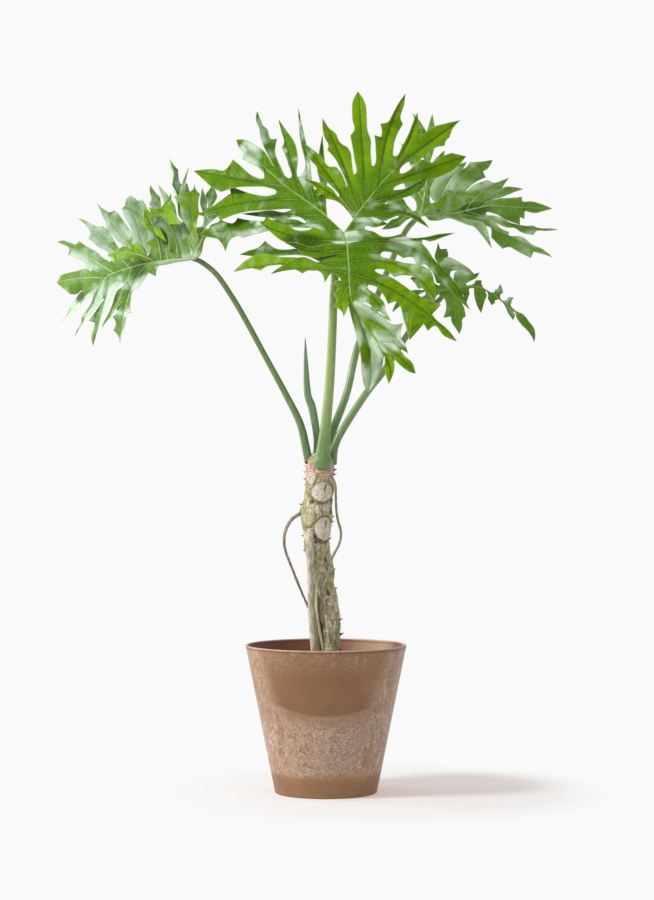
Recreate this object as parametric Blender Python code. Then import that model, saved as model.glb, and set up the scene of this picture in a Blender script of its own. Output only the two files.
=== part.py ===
"""Potted lacy tree philodendron: a short scarred trunk with four deeply cut leaves on long
stalks, a furled new leaf and four aerial roots, standing in the soil of a tapered planter.

Lengths in the tables are millimetres. Points of the plant are written as they are seen from the
front: (right of the pot's axis, above the floor, depth away from the viewer). seen() undoes the
perspective of that view, so the real place of each point follows from its depth.
"""

import math

import bmesh
import bpy
import numpy as np
from mathutils import Vector, noise
from mathutils.bvhtree import BVHTree

MM = 0.001
CLEARANCE = 0.3  # gap between touching pieces

EYE_DISTANCE = 4600
EYE_HEIGHT = 630

POT_HEIGHT = 257
POT_FOOT_RADIUS = 88.5
POT_RIM_RADIUS = 140
POT_WALL = 5
POT_FLOOR = 8
POT_EDGE_ROUND = 3
POT_CORNER = 6  # of the floor inside
POT_SIDES = 56

SOIL_TOP = 222
SOIL_LUMPS = 2.5
SOIL_SIDES = 36
SOIL_RINGS = (108, 86, 64, 42, 20)

BLADE_THICKNESS = 0.7
TOOTH_WAVE = 2.5
VEIN_STEPS = 4
LATTICE_STEPS = 40
UNTANGLE_PASSES = 400
LEAST_AREA = 1.5  # of a triangle, in square mm
LEAST_FACING = 0.3
ROLL_SPREAD = 0.4  # how differently neighbouring lobes are rolled

# height, centre to the right, radius
TRUNK_RINGS = (
    (135, 4, 9), (165, 6, 14), (200, 9, 19), (222, 10, 18.5), (245, 10, 16.5), (268, 10, 15),
    (290, 9, 15), (308, 8, 15.5), (330, 6, 15), (348, 2, 16), (366, -3, 17), (384, -6, 20),
    (404, -11, 22), (424, -15, 21.5), (442, -16, 22.5), (460, -16, 25), (482, -16, 27.5),
    (500, -16, 26), (514, -13, 24.5), (530, -12, 25), (545, -12, 23), (560, -10, 24.5),
    (572, -10, 23), (582, -10, 19), (590, -10, 12),
)
TRUNK_SIDES = 18

# height, angle round the trunk in degrees (0 is the front, + towards the right), width, height
LEAF_SCARS = (
    (523, 8, 35, 33), (459, 14, 27, 39), (492, -62, 30, 26), (548, -52, 20, 18),
    (497, 96, 32, 27), (432, -118, 30, 28), (540, 168, 33, 29), (468, 158, 32, 30),
    (410, 62, 26, 24), (395, 178, 30, 27), (520, -126, 28, 26), (344, 128, 20, 22),
)
SCAR_STAND = 1.2
SCAR_SIDES = 11

# height, angle round the trunk, length
PRICKLES = (
    (556, -100, 5), (544, -84, 5), (560, 70, 6), (552, 84, 6), (540, 92, 5), (500, -80, 5),
    (479, 84, 5), (470, 78, 5), (462, 98, 4), (445, -88, 5), (441, 80, 5), (420, -86, 4),
    (387, 84, 5), (354, 86, 5), (300, 84, 6), (274, 96, 8), (556, 130, 5), (500, 150, 5),
    (440, -150, 5), (530, 190, 5), (372, -140, 5), (412, 140, 4),
)

# A petiole's path runs from its seat in the crown to just behind its blade, with radii to match.
PETIOLES = {
    "petiole_left": dict(
        path=((-29, 572, -2), (-33, 590, -2), (-45, 641, 0), (-71, 694, 8), (-105, 757, 17),
              (-143, 827, 26), (-167, 867, 28), (-191, 901, 30), (-215, 921, 31)),
        radii=(7.6, 7.2, 6.4, 5.6, 5.0, 4.9, 4.8, 4.7, 4.5), blade="blade_left"),
    "petiole_front": dict(
        path=((-7, 556, -15), (-5, 590, -18), (0, 641, -26), (7, 721, -34), (11, 801, -38),
              (13, 854, -38), (16, 901, -36), (22, 941, -34)),
        radii=(15.5, 12.5, 9.3, 8.0, 7.4, 7.0, 6.6, 6.0), blade="blade_front"),
    "petiole_right_back": dict(
        path=((-2, 570, 20), (9, 620, 29), (36, 694, 52), (55, 774, 78), (83, 838, 98),
              (90, 865, 106), (132, 964, 132), (152, 992, 137)),
        radii=(8.0, 7.2, 6.6, 6.2, 5.8, 5.6, 5.2, 4.8), blade="blade_right_back"),
    "petiole_right_low": dict(
        path=((11, 570, 5), (20, 614, 6), (68, 691, 26), (101, 733, 44), (139, 792, 78),
              (158, 818, 96), (183, 842, 116), (198, 857, 124)),
        radii=(7.4, 6.8, 6.4, 6.0, 5.6, 5.2, 4.9, 4.6), blade="blade_right_low"),
}
PETIOLE_SIDES = 10

SPIKE_PATH = ((-19, 578, 12), (-16, 606, 14), (-17, 628, 13), (-24, 668, 12), (-32, 694, 12),
              (-35, 748, 13), (-36, 790, 14))
SPIKE_RADII = (5.0, 5.8, 6.4, 6.9, 6.2, 3.8, 0.6)

ROOTS = {
    "aerial_root_thick": dict(
        path=((-22, 478, -14), (-28, 462, -27), (-28, 425, -29), (-27, 394, -26), (-25, 321, -15),
              (-20, 249, -12), (-19, 205, -12), (-18, 186, -12)),
        radii=(5.5, 6.6, 6.6, 6.4, 6.5, 6.8, 6.4, 5.0)),
    "aerial_root_slim": dict(
        path=((-6, 384, -13), (-15, 368, -22), (-17, 326, -25), (-12, 288, -24), (-5, 248, -26),
              (-3, 212, -27), (-2, 196, -27)),
        radii=(2.2, 2.2, 2.2, 2.2, 2.2, 2.2, 1.8)),
    "aerial_root_left_loop": dict(
        path=((-36, 492, -4), (-45, 485, -7), (-60, 474, -11), (-70, 456, -15), (-73, 437, -16),
              (-70, 418, -15), (-61, 394, -11), (-51, 369, -5), (-42, 347, 0), (-34, 329, 4),
              (-22, 306, 6), (-4, 296, 5)),
        radii=(3.2, 3.1, 3.0, 2.8, 2.6, 2.4, 2.3, 2.2, 2.1, 2.0, 2.0, 1.9)),
    "aerial_root_right_loop": dict(
        path=((2, 553, -14), (10, 548, -18), (16, 534, -18), (17, 515, -12), (18, 491, -8),
              (21, 472, -8), (26, 452, -10), (23, 432, -13), (12, 410, -18), (6, 388, -22),
              (1, 371, -21), (-7, 349, -19), (-8, 329, -15), (-8, 313, -14), (-7, 297, -10),
              (0, 286, -6)),
        radii=(2.4, 2.3, 2.2, 2.2, 2.2, 2.2, 2.2, 2.2, 2.2, 2.1, 2.1, 2.1, 2.0, 2.0, 1.9, 1.8)),
}
ROOT_SIDES = 8
ROOT_STEPS = 1


def lobe(axis, root, tip, half=11, lift=0, via=None, before=(), after=(), sinus=None,
         rise=1.5):
    """One lobe of a blade. It leaves its axis at a fraction of the axis's length and runs past
    via to a tip, all in mm right of and above the leaf's joint. half is half its width, and lift
    is how far the tip comes towards the viewer, late if rise is large. before and after are the
    tips of its teeth on either side, and sinus is the bottom of the cut between it and the next
    lobe."""
    return dict(axis=axis, root=root, tip=tip, half=half, lift=lift, via=via, before=before,
                after=after, sinus=sinus, rise=rise)


# Each blade: its joint with the petiole, how its depth grows with the distance right of and above
# that joint, the slope across its lobes, its three main veins, and its lobes in order round the
# edge, from the cut at the petiole past the tip and back to that cut. Cleft is the bottom of the
# cut, or bare is the share of the first and the last vein that has no blade beside the cut.
LEAVES = {
    "blade_front": dict(
        joint=(31, 974, -50),
        swing=0.0, lean=0.62, arch=0.0011, sag=0.0004, curl=-1.5e-6, roll=0.25,
        bare=(0.22, 0.20),
        axes=dict(first=((-30, 28), (-68, 56), (-101, 80), (-136, 110)),
                  mid=((5, -23), (8, -57), (9, -90), (13, -116), (20, -135), (36, -160), (60, -190)),
                  last=((23, 33), (38, 52), (66, 87), (88, 110))),
        lobes=(
            lobe("first", 0.25, (-37, 170), 9, -34, via=(-38, 100), sinus=(-50, 74)),
            lobe("first", 0.38, (-79, 217), 9, -38, via=(-68, 130), after=((-77, 168),),
                 sinus=(-80, 96)),
            lobe("first", 0.52, (-114, 197), 12, -16, via=(-90, 118), sinus=(-96, 96)),
            lobe("first", 0.72, (-151, 211), 13, -8, via=(-122, 142),
                 before=((-117, 152), (-131, 178)), after=((-147, 156),), sinus=(-128, 116)),
            lobe("first", 1.00, (-187, 160), 12, 2, via=(-162, 138), after=((-178, 130),),
                 sinus=(-138, 92)),
            lobe("first", 0.72, (-262, 106), 15, 12, via=(-180, 90), before=((-193, 127),),
                 after=((-222, 74),), sinus=(-118, 68)),
            lobe("first", 0.50, (-256, 30), 16, 0, via=(-160, 54), before=((-200, 80), (-238, 44)),
                 after=((-196, 26),), sinus=(-92, 38)),
            lobe("first", 0.26, (-178, 32), 8, -16, via=(-108, 30), sinus=(-66, 16)),
            lobe("first", 0.14, (-252, -4), 13, -12, via=(-140, 10), before=((-214, 22),),
                 after=((-176, -10), (-206, -34)), sinus=(-56, 4)),
            lobe("mid", 0.08, (-147, 19), 13, 16, via=(-78, -8), before=((-97, 20), (-134, 28)),
                 after=((-100, -24),), sinus=(-40, -22)),
            lobe("mid", 0.18, (-182, -39), 12, -26, via=(-92, -28), before=((-137, -18),),
                 after=((-140, -42),), sinus=(-46, -40)),
            lobe("mid", 0.26, (-192, -69), 13, -6, via=(-104, -56), before=((-146, -44),),
                 after=((-140, -72),), sinus=(-36, -62)),
            lobe("mid", 0.34, (-128, -73), 11, 14, via=(-66, -70), before=((-90, -54),),
                 after=((-36, -90), (-72, -84)), sinus=(-8, -80)),
            lobe("mid", 0.44, (0, -147), 10, 14, via=(-7, -120), before=((-18, -104), (-19, -130)),
                 after=((6, -136),), sinus=(7, -120)),
            lobe("mid", 0.62, (44, -280), 16, -20, via=(38, -200),
                 before=((13, -144), (22, -176), (33, -244)), after=((64, -243),),
                 sinus=(67, -220)),
            lobe("mid", 0.88, (78, -264), 8, -10, via=(70, -216), before=((68, -240),),
                 after=((88, -238),), sinus=(80, -212)),
            lobe("mid", 1.00, (125, -246), 11, 2, via=(90, -214), before=((108, -241),),
                 after=((112, -222),), sinus=(82, -190)),
            lobe("mid", 0.80, (112, -211), 14, -4, via=(76, -176), before=((96, -204),),
                 after=((84, -158), (104, -188)), sinus=(32, -124)),
            lobe("mid", 0.44, (83, -155), 11, 16, via=(48, -116), before=((58, -140),),
                 after=((70, -130),), sinus=(41, -94)),
            lobe("mid", 0.34, (197, -190), 17, 8, via=(106, -114),
                 before=((80, -118), (118, -166), (146, -172)), after=((166, -128),),
                 sinus=(54, -67)),
            lobe("mid", 0.24, (160, -119), 13, 0, via=(90, -58), before=((87, -78), (126, -104)),
                 after=((132, -66),), sinus=(66, -38)),
            lobe("mid", 0.10, (220, -136), 14, 6, via=(138, -32),
                 before=((103, -45), (128, -58), (160, -88)), after=((186, -44),),
                 sinus=(140, -14)),
            lobe("mid", 0.06, (194, -2), 7, -4, via=(112, -10), after=((97, -2),), sinus=(38, 6)),
            lobe("last", 0.14, (77, 14), 8, 8, via=(46, 16), sinus=(52, 28)),
            lobe("last", 0.30, (149, 7), 12, 14, via=(94, 38), before=((110, 18),),
                 after=((130, 38),), sinus=(74, 50)),
            lobe("last", 0.46, (146, 98), 11, 6, via=(98, 68), after=((128, 94),),
                 sinus=(86, 76)),
            lobe("last", 0.66, (213, 133), 16, -2, via=(132, 104), before=((170, 96),),
                 after=((155, 124), (188, 137)), sinus=(97, 103)),
            lobe("last", 1.00, (203, 195), 15, -8, via=(150, 156),
                 before=((162, 146), (176, 152), (186, 168)), after=((158, 186),),
                 sinus=(130, 170)),
            lobe("last", 1.00, (128, 209), 10, -10, via=(113, 162), sinus=(89, 131)),
            lobe("last", 0.76, (107, 241), 15, -16, via=(79, 164), before=((101, 192),),
                 after=((54, 166), (65, 192)), sinus=(52, 113)),
            lobe("last", 0.46, (25, 245), 16, -6, via=(36, 146), before=((40, 196),),
                 after=((11, 166), (15, 212)), sinus=(20, 101)),
            lobe("last", 0.34, (-37, 199), 14, 6, via=(0, 124), before=((-10, 168),),
                 after=((-29, 145),), sinus=(6, 78)),
            lobe("last", 0.28, (-69, 154), 12, 18, via=(-20, 92), before=((-19, 116),),
                 after=((-46, 112),), sinus=(-6, 60)),
            lobe("last", 0.25, (-69, 94), 10, 30, via=(-14, 63), after=((-44, 64), (-30, 58))),
        )),
    "blade_left": dict(
        joint=(-233, 929, 18),
        swing=0.20, lean=0.72, arch=0.0011, sag=0.0011, curl=-2.0e-6, roll=0.7,
        cleft=(12, 2),
        axes=dict(first=((15, 30), (24, 61), (31, 93)),
                  mid=((-57, -5), (-110, -17), (-146, -30), (-159, -45))),
        lobes=(
            lobe("first", 0.40, (50, 64), 7, -4),
            lobe("first", 0.70, (72, 116), 9, -6, via=(44, 84)),
            lobe("first", 1.00, (37, 128), 8, -6),
            lobe("first", 0.78, (18, 122), 5, -8, via=(20, 98)),
            lobe("first", 0.30, (4, 129), 11, 30, via=(0, 72), before=((8, 108),),
                 after=((-31, 106),), rise=0.8, sinus=(-9, 50)),
            lobe("first", 0.20, (-5, 159), 5, -14, via=(-16, 84)),
            lobe("first", 0.12, (-38, 174), 8, -20, via=(-25, 90), after=((-34, 128),)),
            lobe("mid", 0.08, (-60, 128), 6, -14, via=(-32, 74)),
            lobe("mid", 0.16, (-76, 89), 13, 34, via=(-42, 52), before=((-37, 112),),
                 after=((-72, 56),), rise=0.8, sinus=(-44, 40)),
            lobe("mid", 0.24, (-72, 127), 10, -6, via=(-60, 60), before=((-55, 102),),
                 after=((-75, 102),)),
            lobe("mid", 0.32, (-88, 92), 13, 34, via=(-66, 40), before=((-76, 78),),
                 after=((-100, 74),), rise=0.8, sinus=(-78, 20)),
            lobe("mid", 0.42, (-105, 108), 10, 0, via=(-92, 50), after=((-120, 84),)),
            lobe("mid", 0.52, (-165, 95), 13, 0, via=(-126, 46), before=((-136, 84),),
                 after=((-152, 52),)),
            lobe("mid", 0.66, (-198, 68), 13, 0, via=(-150, 26), before=((-154, 56),),
                 after=((-179, 34),)),
            lobe("mid", 0.82, (-234, 28), 12, 2, via=(-184, 6), before=((-198, 30),),
                 after=((-213, 6),)),
            lobe("mid", 0.92, (-235, -42), 13, 6, via=(-192, -28), before=((-222, -26),),
                 after=((-214, -60),)),
            lobe("mid", 1.00, (-227, -111), 9, 6, via=(-190, -74), before=((-204, -78),),
                 after=((-211, -102),)),
            lobe("mid", 0.94, (-203, -137), 8, 2, via=(-172, -86), before=((-191, -104),)),
            lobe("mid", 0.86, (-172, -153), 8, 0, via=(-154, -90), before=((-172, -112),)),
            lobe("mid", 0.62, (-156, -122), 6, 10, via=(-132, -70)),
            lobe("mid", 0.44, (-125, -148), 12, 16, via=(-110, -72), before=((-136, -124),),
                 after=((-66, -32), (-92, -54), (-104, -102))),
        )),
    "blade_right_back": dict(
        joint=(163, 1001, 122),
        swing=-0.05, lean=0.50, arch=0.0011, sag=0.0012, curl=0.0, roll=0.5,
        cleft=(-8, 10),
        axes=dict(first=((-22, 4), (-44, 4)),
                  mid=((30, 3), (60, 6), (90, 13), (120, 20)),
                  last=((8, 40), (14, 80), (18, 110))),
        lobes=(
            lobe("first", 0.50, (-62, 34), 8, 6, via=(-42, 22)),
            lobe("first", 1.00, (-88, 2), 9, 4),
            lobe("first", 0.45, (-66, -22), 8, 10, via=(-44, -12)),
            lobe("mid", 0.22, (125, -55), 10, 10, via=(82, -20)),
            lobe("mid", 0.42, (231, -69), 9, 0, via=(150, -30),
                 before=((158, -50), (192, -68)), after=((156, -22),)),
            lobe("mid", 0.66, (241, -23), 7, -4, via=(168, -8), before=((197, -28),)),
            lobe("mid", 1.00, (230, 15), 12, 4, via=(176, 20), before=((180, -2),),
                 after=((177, 35),)),
            lobe("mid", 0.86, (181, 48), 7, -4, via=(148, 36)),
            lobe("mid", 0.66, (156, 68), 11, -2, via=(114, 42), before=((132, 36),),
                 after=((119, 62),)),
            lobe("mid", 0.42, (126, 97), 11, 2, via=(80, 56), before=((114, 72),),
                 after=((90, 88),)),
            lobe("mid", 0.22, (80, 92), 9, -8, via=(44, 52)),
            lobe("last", 0.40, (44, 116), 9, -10, via=(28, 82)),
            lobe("last", 1.00, (22, 179), 9, -4, before=((30, 148),)),
            lobe("last", 0.78, (-13, 181), 9, -10, via=(4, 142)),
            lobe("last", 0.50, (-34, 128), 10, -10, via=(-8, 96)),
            lobe("last", 0.24, (-38, 76), 9, -6, via=(-12, 54)),
        )),
    "blade_right_low": dict(
        joint=(210, 874, 112),
        swing=0.0, lean=0.50, arch=0.0016, sag=0.0016, curl=0.0, roll=0.4,
        cleft=(-12, 8),
        axes=dict(first=((-22, 0), (-44, -2)),
                  mid=((30, 6), (60, 4), (84, -10), (110, -31), (127, -42)),
                  last=((-6, 22), (-14, 46))),
        lobes=(
            lobe("first", 0.55, (-64, 24), 8, -4, via=(-42, 14)),
            lobe("first", 1.00, (-95, -40), 9, 0, via=(-74, -16)),
            lobe("first", 0.50, (-42, -42), 8, 4, via=(-34, -20)),
            lobe("mid", 0.08, (22, -76), 13, 12, via=(12, -36), before=((-6, -48),),
                 after=((32, -46),)),
            lobe("mid", 0.26, (34, -22), 6, 8, via=(34, -8)),
            lobe("mid", 0.42, (59, -40), 9, 6, via=(58, -16)),
            lobe("mid", 0.54, (78, -30), 7, 0, via=(76, -16)),
            lobe("mid", 0.80, (114, -52), 6, 4, via=(112, -40)),
            lobe("mid", 1.00, (151, -91), 8, 2, via=(145, -62)),
            lobe("mid", 0.84, (136, -24), 6, -4, via=(126, -26)),
            lobe("mid", 0.60, (104, 6), 7, -6, via=(96, -2)),
            lobe("mid", 0.34, (70, 26), 8, -4, via=(54, 16)),
            lobe("mid", 0.14, (50, 42), 9, 6, via=(30, 28)),
            lobe("last", 0.60, (14, 62), 7, -2, via=(2, 46)),
            lobe("last", 1.00, (-16, 84), 7, 0),
            lobe("last", 0.55, (-46, 58), 8, -8, via=(-26, 44)),
        )),
}


def seen(right, up, depth):
    """The place, in metres, of a point seen this far right of the axis and above the floor."""
    spread = 1 + depth / EYE_DISTANCE
    height = EYE_HEIGHT + (up - EYE_HEIGHT) * spread
    return Vector((right * spread, depth, height)) * MM


def material(name, colour, roughness, metallic=0.0):
    made = bpy.data.materials.new(name)
    made.use_nodes = True
    shader = made.node_tree.nodes["Principled BSDF"]
    shader.inputs["Base Color"].default_value = (*colour, 1)
    shader.inputs["Roughness"].default_value = roughness
    shader.inputs["Metallic"].default_value = metallic
    made.diffuse_color = (*colour, 1)
    return made


def add_object(name, mesh, finish=None):
    piece = bpy.data.objects.new(name, mesh)
    bpy.context.scene.collection.objects.link(piece)
    if finish:
        mesh.materials.append(finish)
    return piece


def mesh_from(name, places, faces, sharp=math.radians(50)):
    mesh = bpy.data.meshes.new(name)
    mesh.from_pydata([tuple(place) for place in places], [], faces)
    mesh.update()
    mesh.shade_smooth()
    mesh.set_sharp_from_angle(angle=sharp)
    return mesh


def curve_through(points, steps):
    """A smooth Catmull-Rom curve through points, with this many steps between neighbours."""
    rows = [np.array(point, float) for point in points]
    rows = [2 * rows[0] - rows[1], *rows, 2 * rows[-1] - rows[-2]]
    curve = []
    for before, start, end, after in zip(rows, rows[1:], rows[2:], rows[3:]):
        for step in range(steps):
            t = step / steps
            curve.append(0.5 * (2 * start + (end - before) * t
                                + (2 * before - 5 * start + 4 * end - after) * t**2
                                + (3 * start - 3 * end + after - before) * t**3))
    curve.append(rows[-2])
    return curve


def tube(name, path, radii, sides, steps=2, grow=0.0, end=None):
    """A closed tube along path, whose points carry radii, in mm. grow makes it fatter and longer
    all round. end, a place in mm, is added to the path as its last point."""
    rows = curve_through([(*point, radius) for point, radius in zip(path, radii)], steps)
    spine = [seen(*row[:3]) / MM for row in rows]
    widths = [row[3] + grow for row in rows]
    if end is not None:
        spine.append(end)
        widths.append(widths[-1])
    spine[0] = spine[0] + (spine[0] - spine[1]).normalized() * grow
    spine[-1] = spine[-1] + (spine[-1] - spine[-2]).normalized() * grow
    side = Vector((0, 1, 0))
    rings = []
    for k, centre in enumerate(spine):
        ahead = (spine[min(k + 1, len(spine) - 1)] - spine[max(k - 1, 0)]).normalized()
        side = (side - ahead * side.dot(ahead)).normalized()
        across = ahead.cross(side)
        ring = []
        for j in range(sides):
            angle = 2 * math.pi * j / sides
            ring.append(centre + (side * math.cos(angle) + across * math.sin(angle)) * widths[k])
        rings.append(ring)
    places = [place * MM for ring in rings for place in ring]
    faces = []
    for k in range(len(rings) - 1):
        for j in range(sides):
            a, b = k * sides + j, k * sides + (j + 1) % sides
            faces.append((a, b, b + sides, a + sides))
    faces.append(tuple(reversed(range(sides))))
    faces.append(tuple(range(len(places) - sides, len(places))))
    return mesh_from(name, places, faces)


def cutter(mesh):
    piece = add_object(mesh.name, mesh)
    piece.hide_render = True
    piece.display_type = "WIRE"
    return piece


def combine(host, pieces, operation):
    """Applies one Boolean of host with all pieces, then removes them."""
    group = bpy.data.collections.new(host.name + "_" + operation.lower())
    bpy.context.scene.collection.children.link(group)
    for piece in pieces:
        group.objects.link(piece)
    change = host.modifiers.new(operation.title(), "BOOLEAN")
    change.operation = operation
    change.operand_type = "COLLECTION"
    change.collection = group
    change.solver = "MANIFOLD"
    bpy.context.view_layer.update()
    seen_by_viewport = host.evaluated_get(bpy.context.evaluated_depsgraph_get())
    mesh = bpy.data.meshes.new_from_object(seen_by_viewport)
    host.modifiers.remove(change)
    host.data = mesh
    for piece in pieces:
        bpy.data.objects.remove(piece)
    bpy.data.collections.remove(group)


def lathe(name, profile, sides):
    """Turns a closed profile of (radius, height) in mm about Z; radius 0 closes on the axis."""
    places, rings = [], []
    for radius, height in profile:
        if radius == 0:
            rings.append([len(places)])
            places.append(Vector((0, 0, height)) * MM)
            continue
        rings.append(list(range(len(places), len(places) + sides)))
        for j in range(sides):
            angle = 2 * math.pi * j / sides
            places.append(Vector((radius * math.cos(angle), radius * math.sin(angle), height)) * MM)
    faces = []
    for low, high in zip(rings, rings[1:]):
        for j in range(sides):
            k = (j + 1) % sides
            if len(low) == 1:
                faces.append((low[0], high[k], high[j]))
            elif len(high) == 1:
                faces.append((low[j], low[k], high[0]))
            else:
                faces.append((low[j], low[k], high[k], high[j]))
    return mesh_from(name, places, faces, math.radians(35))


def pot_radius(height):
    """Outer radius of the straight, tapered wall."""
    return POT_FOOT_RADIUS + (POT_RIM_RADIUS - POT_FOOT_RADIUS) * height / POT_HEIGHT


def make_pot():
    """A tapered tub with a rounded foot, a half-round lip and a flat floor inside."""
    edge, lip = POT_EDGE_ROUND, POT_WALL / 2
    profile = [(0, 0), (POT_FOOT_RADIUS - edge, 0)]
    profile += [(pot_radius(edge) - edge * (1 - math.sin(a)), edge * (1 - math.cos(a)))
                for a in (math.pi / 6, math.pi / 3, math.pi / 2)]
    profile += [(POT_RIM_RADIUS - lip + lip * math.cos(a), POT_HEIGHT - lip + lip * math.sin(a))
                for a in (0, math.pi / 4, math.pi / 2, 3 * math.pi / 4, math.pi)]
    floor_radius = pot_radius(POT_FLOOR) - POT_WALL
    profile += [(floor_radius + 1, POT_FLOOR + POT_CORNER), (floor_radius - POT_CORNER, POT_FLOOR),
                (0, POT_FLOOR)]
    finish = material("planter_resin", (0.45, 0.25, 0.14), 0.5)
    return add_object("pot", lathe("pot", profile, POT_SIDES), finish)


def make_soil():
    """The filled inside of the pot, lumpy on top."""
    low = POT_FLOOR + CLEARANCE
    wall_gap = POT_WALL + 1
    corner = low + POT_CORNER + 1
    profile = [(0, low), (pot_radius(POT_FLOOR) - POT_WALL - POT_CORNER, low),
               (pot_radius(corner) - wall_gap - 1, corner),
               (pot_radius(SOIL_TOP) - wall_gap, SOIL_TOP)]
    profile += [(radius, SOIL_TOP) for radius in SOIL_RINGS]
    profile.append((0, SOIL_TOP))
    mesh = lathe("soil", profile, SOIL_SIDES)
    for vertex in mesh.vertices:
        reach = math.hypot(vertex.co.x, vertex.co.y) / MM
        if vertex.co.z > (SOIL_TOP - 1) * MM and reach < SOIL_RINGS[0] + 1:
            lump = noise.noise(Vector((vertex.co.x, vertex.co.y, 0)) * 45)
            vertex.co.z += SOIL_LUMPS * lump * MM
    bm = bmesh.new()
    bm.from_mesh(mesh)
    bmesh.ops.triangulate(bm, faces=bm.faces)
    bm.to_mesh(mesh)
    bm.free()
    return add_object("soil", mesh, material("potting_soil", (0.045, 0.03, 0.02), 0.95))


def trunk_at(height):
    """Centre to the right and radius of the trunk at a height, in mm."""
    heights = [ring[0] for ring in TRUNK_RINGS]
    centre = np.interp(height, heights, [ring[1] for ring in TRUNK_RINGS])
    radius = np.interp(height, heights, [ring[2] for ring in TRUNK_RINGS])
    return centre, radius


def trunk_side(height, angle):
    """A place on the trunk's surface and the way it faces; the angle is 0 at the front."""
    centre, radius = trunk_at(height)
    turn = math.radians(angle)
    outward = Vector((math.sin(turn), -math.cos(turn), 0))
    return Vector((centre, 0, height)) + outward * radius, outward


def stub(name, centre, outward, radii, near, far, sides):
    """A short round or pointed stub, from near to far mm out along outward."""
    up = Vector((0, 0, 1))
    across = up.cross(outward).normalized()
    up = outward.cross(across)
    places = []
    for reach, scale in ((near, 1.12), (far, 1.0)):
        for j in range(sides):
            angle = 2 * math.pi * j / sides
            spoke = across * math.cos(angle) * radii[0] + up * math.sin(angle) * radii[1]
            places.append((centre + outward * reach + spoke * scale) * MM)
    faces = [(j, (j + 1) % sides, (j + 1) % sides + sides, j + sides) for j in range(sides)]
    faces.append(tuple(reversed(range(sides))))
    faces.append(tuple(range(sides, 2 * sides)))
    return mesh_from(name, places, faces)


def prickle(name, foot, outward, length):
    """A three-sided thorn, bent upward, rooted 2 mm below the bark."""
    up = Vector((0, 0, 1))
    across = up.cross(outward).normalized()
    root = foot - outward * 2
    places = [(root + across * 1.7) * MM, (root + up * 1.9) * MM, (root - across * 1.7) * MM,
              (root - up * 1.9) * MM, (foot + outward * length + up * length * 0.35) * MM]
    return mesh_from(name, places, [(0, 1, 4), (1, 2, 4), (2, 3, 4), (3, 0, 4), (3, 2, 1, 0)])


def make_trunk(seated):
    """The knobbly stem with its cut leaf scars and thorns, socketed for what grows from it."""
    places = []
    for height, centre, radius in TRUNK_RINGS:
        for j in range(TRUNK_SIDES):
            angle = 2 * math.pi * j / TRUNK_SIDES
            probe = Vector((math.cos(angle) * 1.6, math.sin(angle) * 1.6, height / 34))
            reach = radius * (1 + 0.09 * noise.noise(probe))
            places.append(Vector((centre + reach * math.cos(angle),
                                  reach * math.sin(angle), height)) * MM)
    faces = []
    for k in range(len(TRUNK_RINGS) - 1):
        for j in range(TRUNK_SIDES):
            a, b = k * TRUNK_SIDES + j, k * TRUNK_SIDES + (j + 1) % TRUNK_SIDES
            faces.append((a, b, b + TRUNK_SIDES, a + TRUNK_SIDES))
    faces.append(tuple(reversed(range(TRUNK_SIDES))))
    faces.append(tuple(range(len(places) - TRUNK_SIDES, len(places))))
    trunk = add_object("trunk", mesh_from("trunk", places, faces),
                       material("bark", (0.36, 0.31, 0.22), 0.85))
    grown = []
    for number, (height, angle, wide, tall) in enumerate(LEAF_SCARS):
        centre, outward = trunk_side(height, angle)
        mesh = stub(f"scar_{number}", centre, outward, (wide / 2, tall / 2), -9, SCAR_STAND,
                    SCAR_SIDES)
        grown.append(cutter(mesh))
    for number, (height, angle, length) in enumerate(PRICKLES):
        foot, outward = trunk_side(height, angle)
        grown.append(cutter(prickle(f"prickle_{number}", foot, outward, length)))
    combine(trunk, grown, "UNION")
    combine(trunk, [cutter(mesh) for mesh in seated], "DIFFERENCE")
    return trunk


class Blade:
    """The sheet of one leaf: places in mm as seen, and the faces between them."""

    def __init__(self, leaf):
        self.leaf = leaf
        self.flat = []
        self.faces = []
        self.veins = {}
        for axis, points in leaf["axes"].items():
            curve = curve_through([(0, 0), *points], 8)
            lengths = np.cumsum([0] + [np.linalg.norm(b - a) for a, b in zip(curve, curve[1:])])
            self.veins[axis] = (lengths / lengths[-1], np.array(curve))
        self.joint = self.add((0, 0), 0)
        self.stations = {}

    def add(self, point, lift):
        self.flat.append((point[0], point[1], lift))
        return len(self.flat) - 1

    def on_axis(self, axis, fraction):
        shares, curve = self.veins[axis]
        return np.array([np.interp(fraction, shares, curve[:, 0]),
                         np.interp(fraction, shares, curve[:, 1])])

    def station(self, axis, step):
        if step == 0:
            return self.joint
        if (axis, step) not in self.stations:
            point = self.on_axis(axis, step / LATTICE_STEPS)
            self.stations[axis, step] = self.add(point, 0)
        return self.stations[axis, step]

    def place(self, number):
        right, up, lift = self.flat[number]
        leaf = self.leaf
        depth = (leaf["swing"] * right + leaf["arch"] * right**2 + leaf["lean"] * up
                 + leaf["sag"] * up**2 + leaf["curl"] * up**3 - lift)
        joint = leaf["joint"]
        return seen(joint[0] + right, joint[1] + up, joint[2] + depth) / MM


def spine_of(blade, part):
    """The lobe's own vein as a function of a fraction: right, up and lift."""
    root = blade.on_axis(part["axis"], part["step"] / LATTICE_STEPS)
    tip = np.array(part["tip"], float)
    via = np.array(part["via"], float) if part["via"] else (root + tip) / 2
    bend = 2 * via - (root + tip) / 2

    def at(t):
        point = root * (1 - t) ** 2 + 2 * bend * t * (1 - t) + tip * t**2
        return np.array([point[0], point[1], part["lift"] * t ** part["rise"]])

    return at


def nearest(spine, point):
    fractions = np.linspace(0, 1, 61)
    gaps = [np.hypot(*(spine(t)[:2] - np.array(point))) for t in fractions]
    return fractions[int(np.argmin(gaps))]


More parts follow.
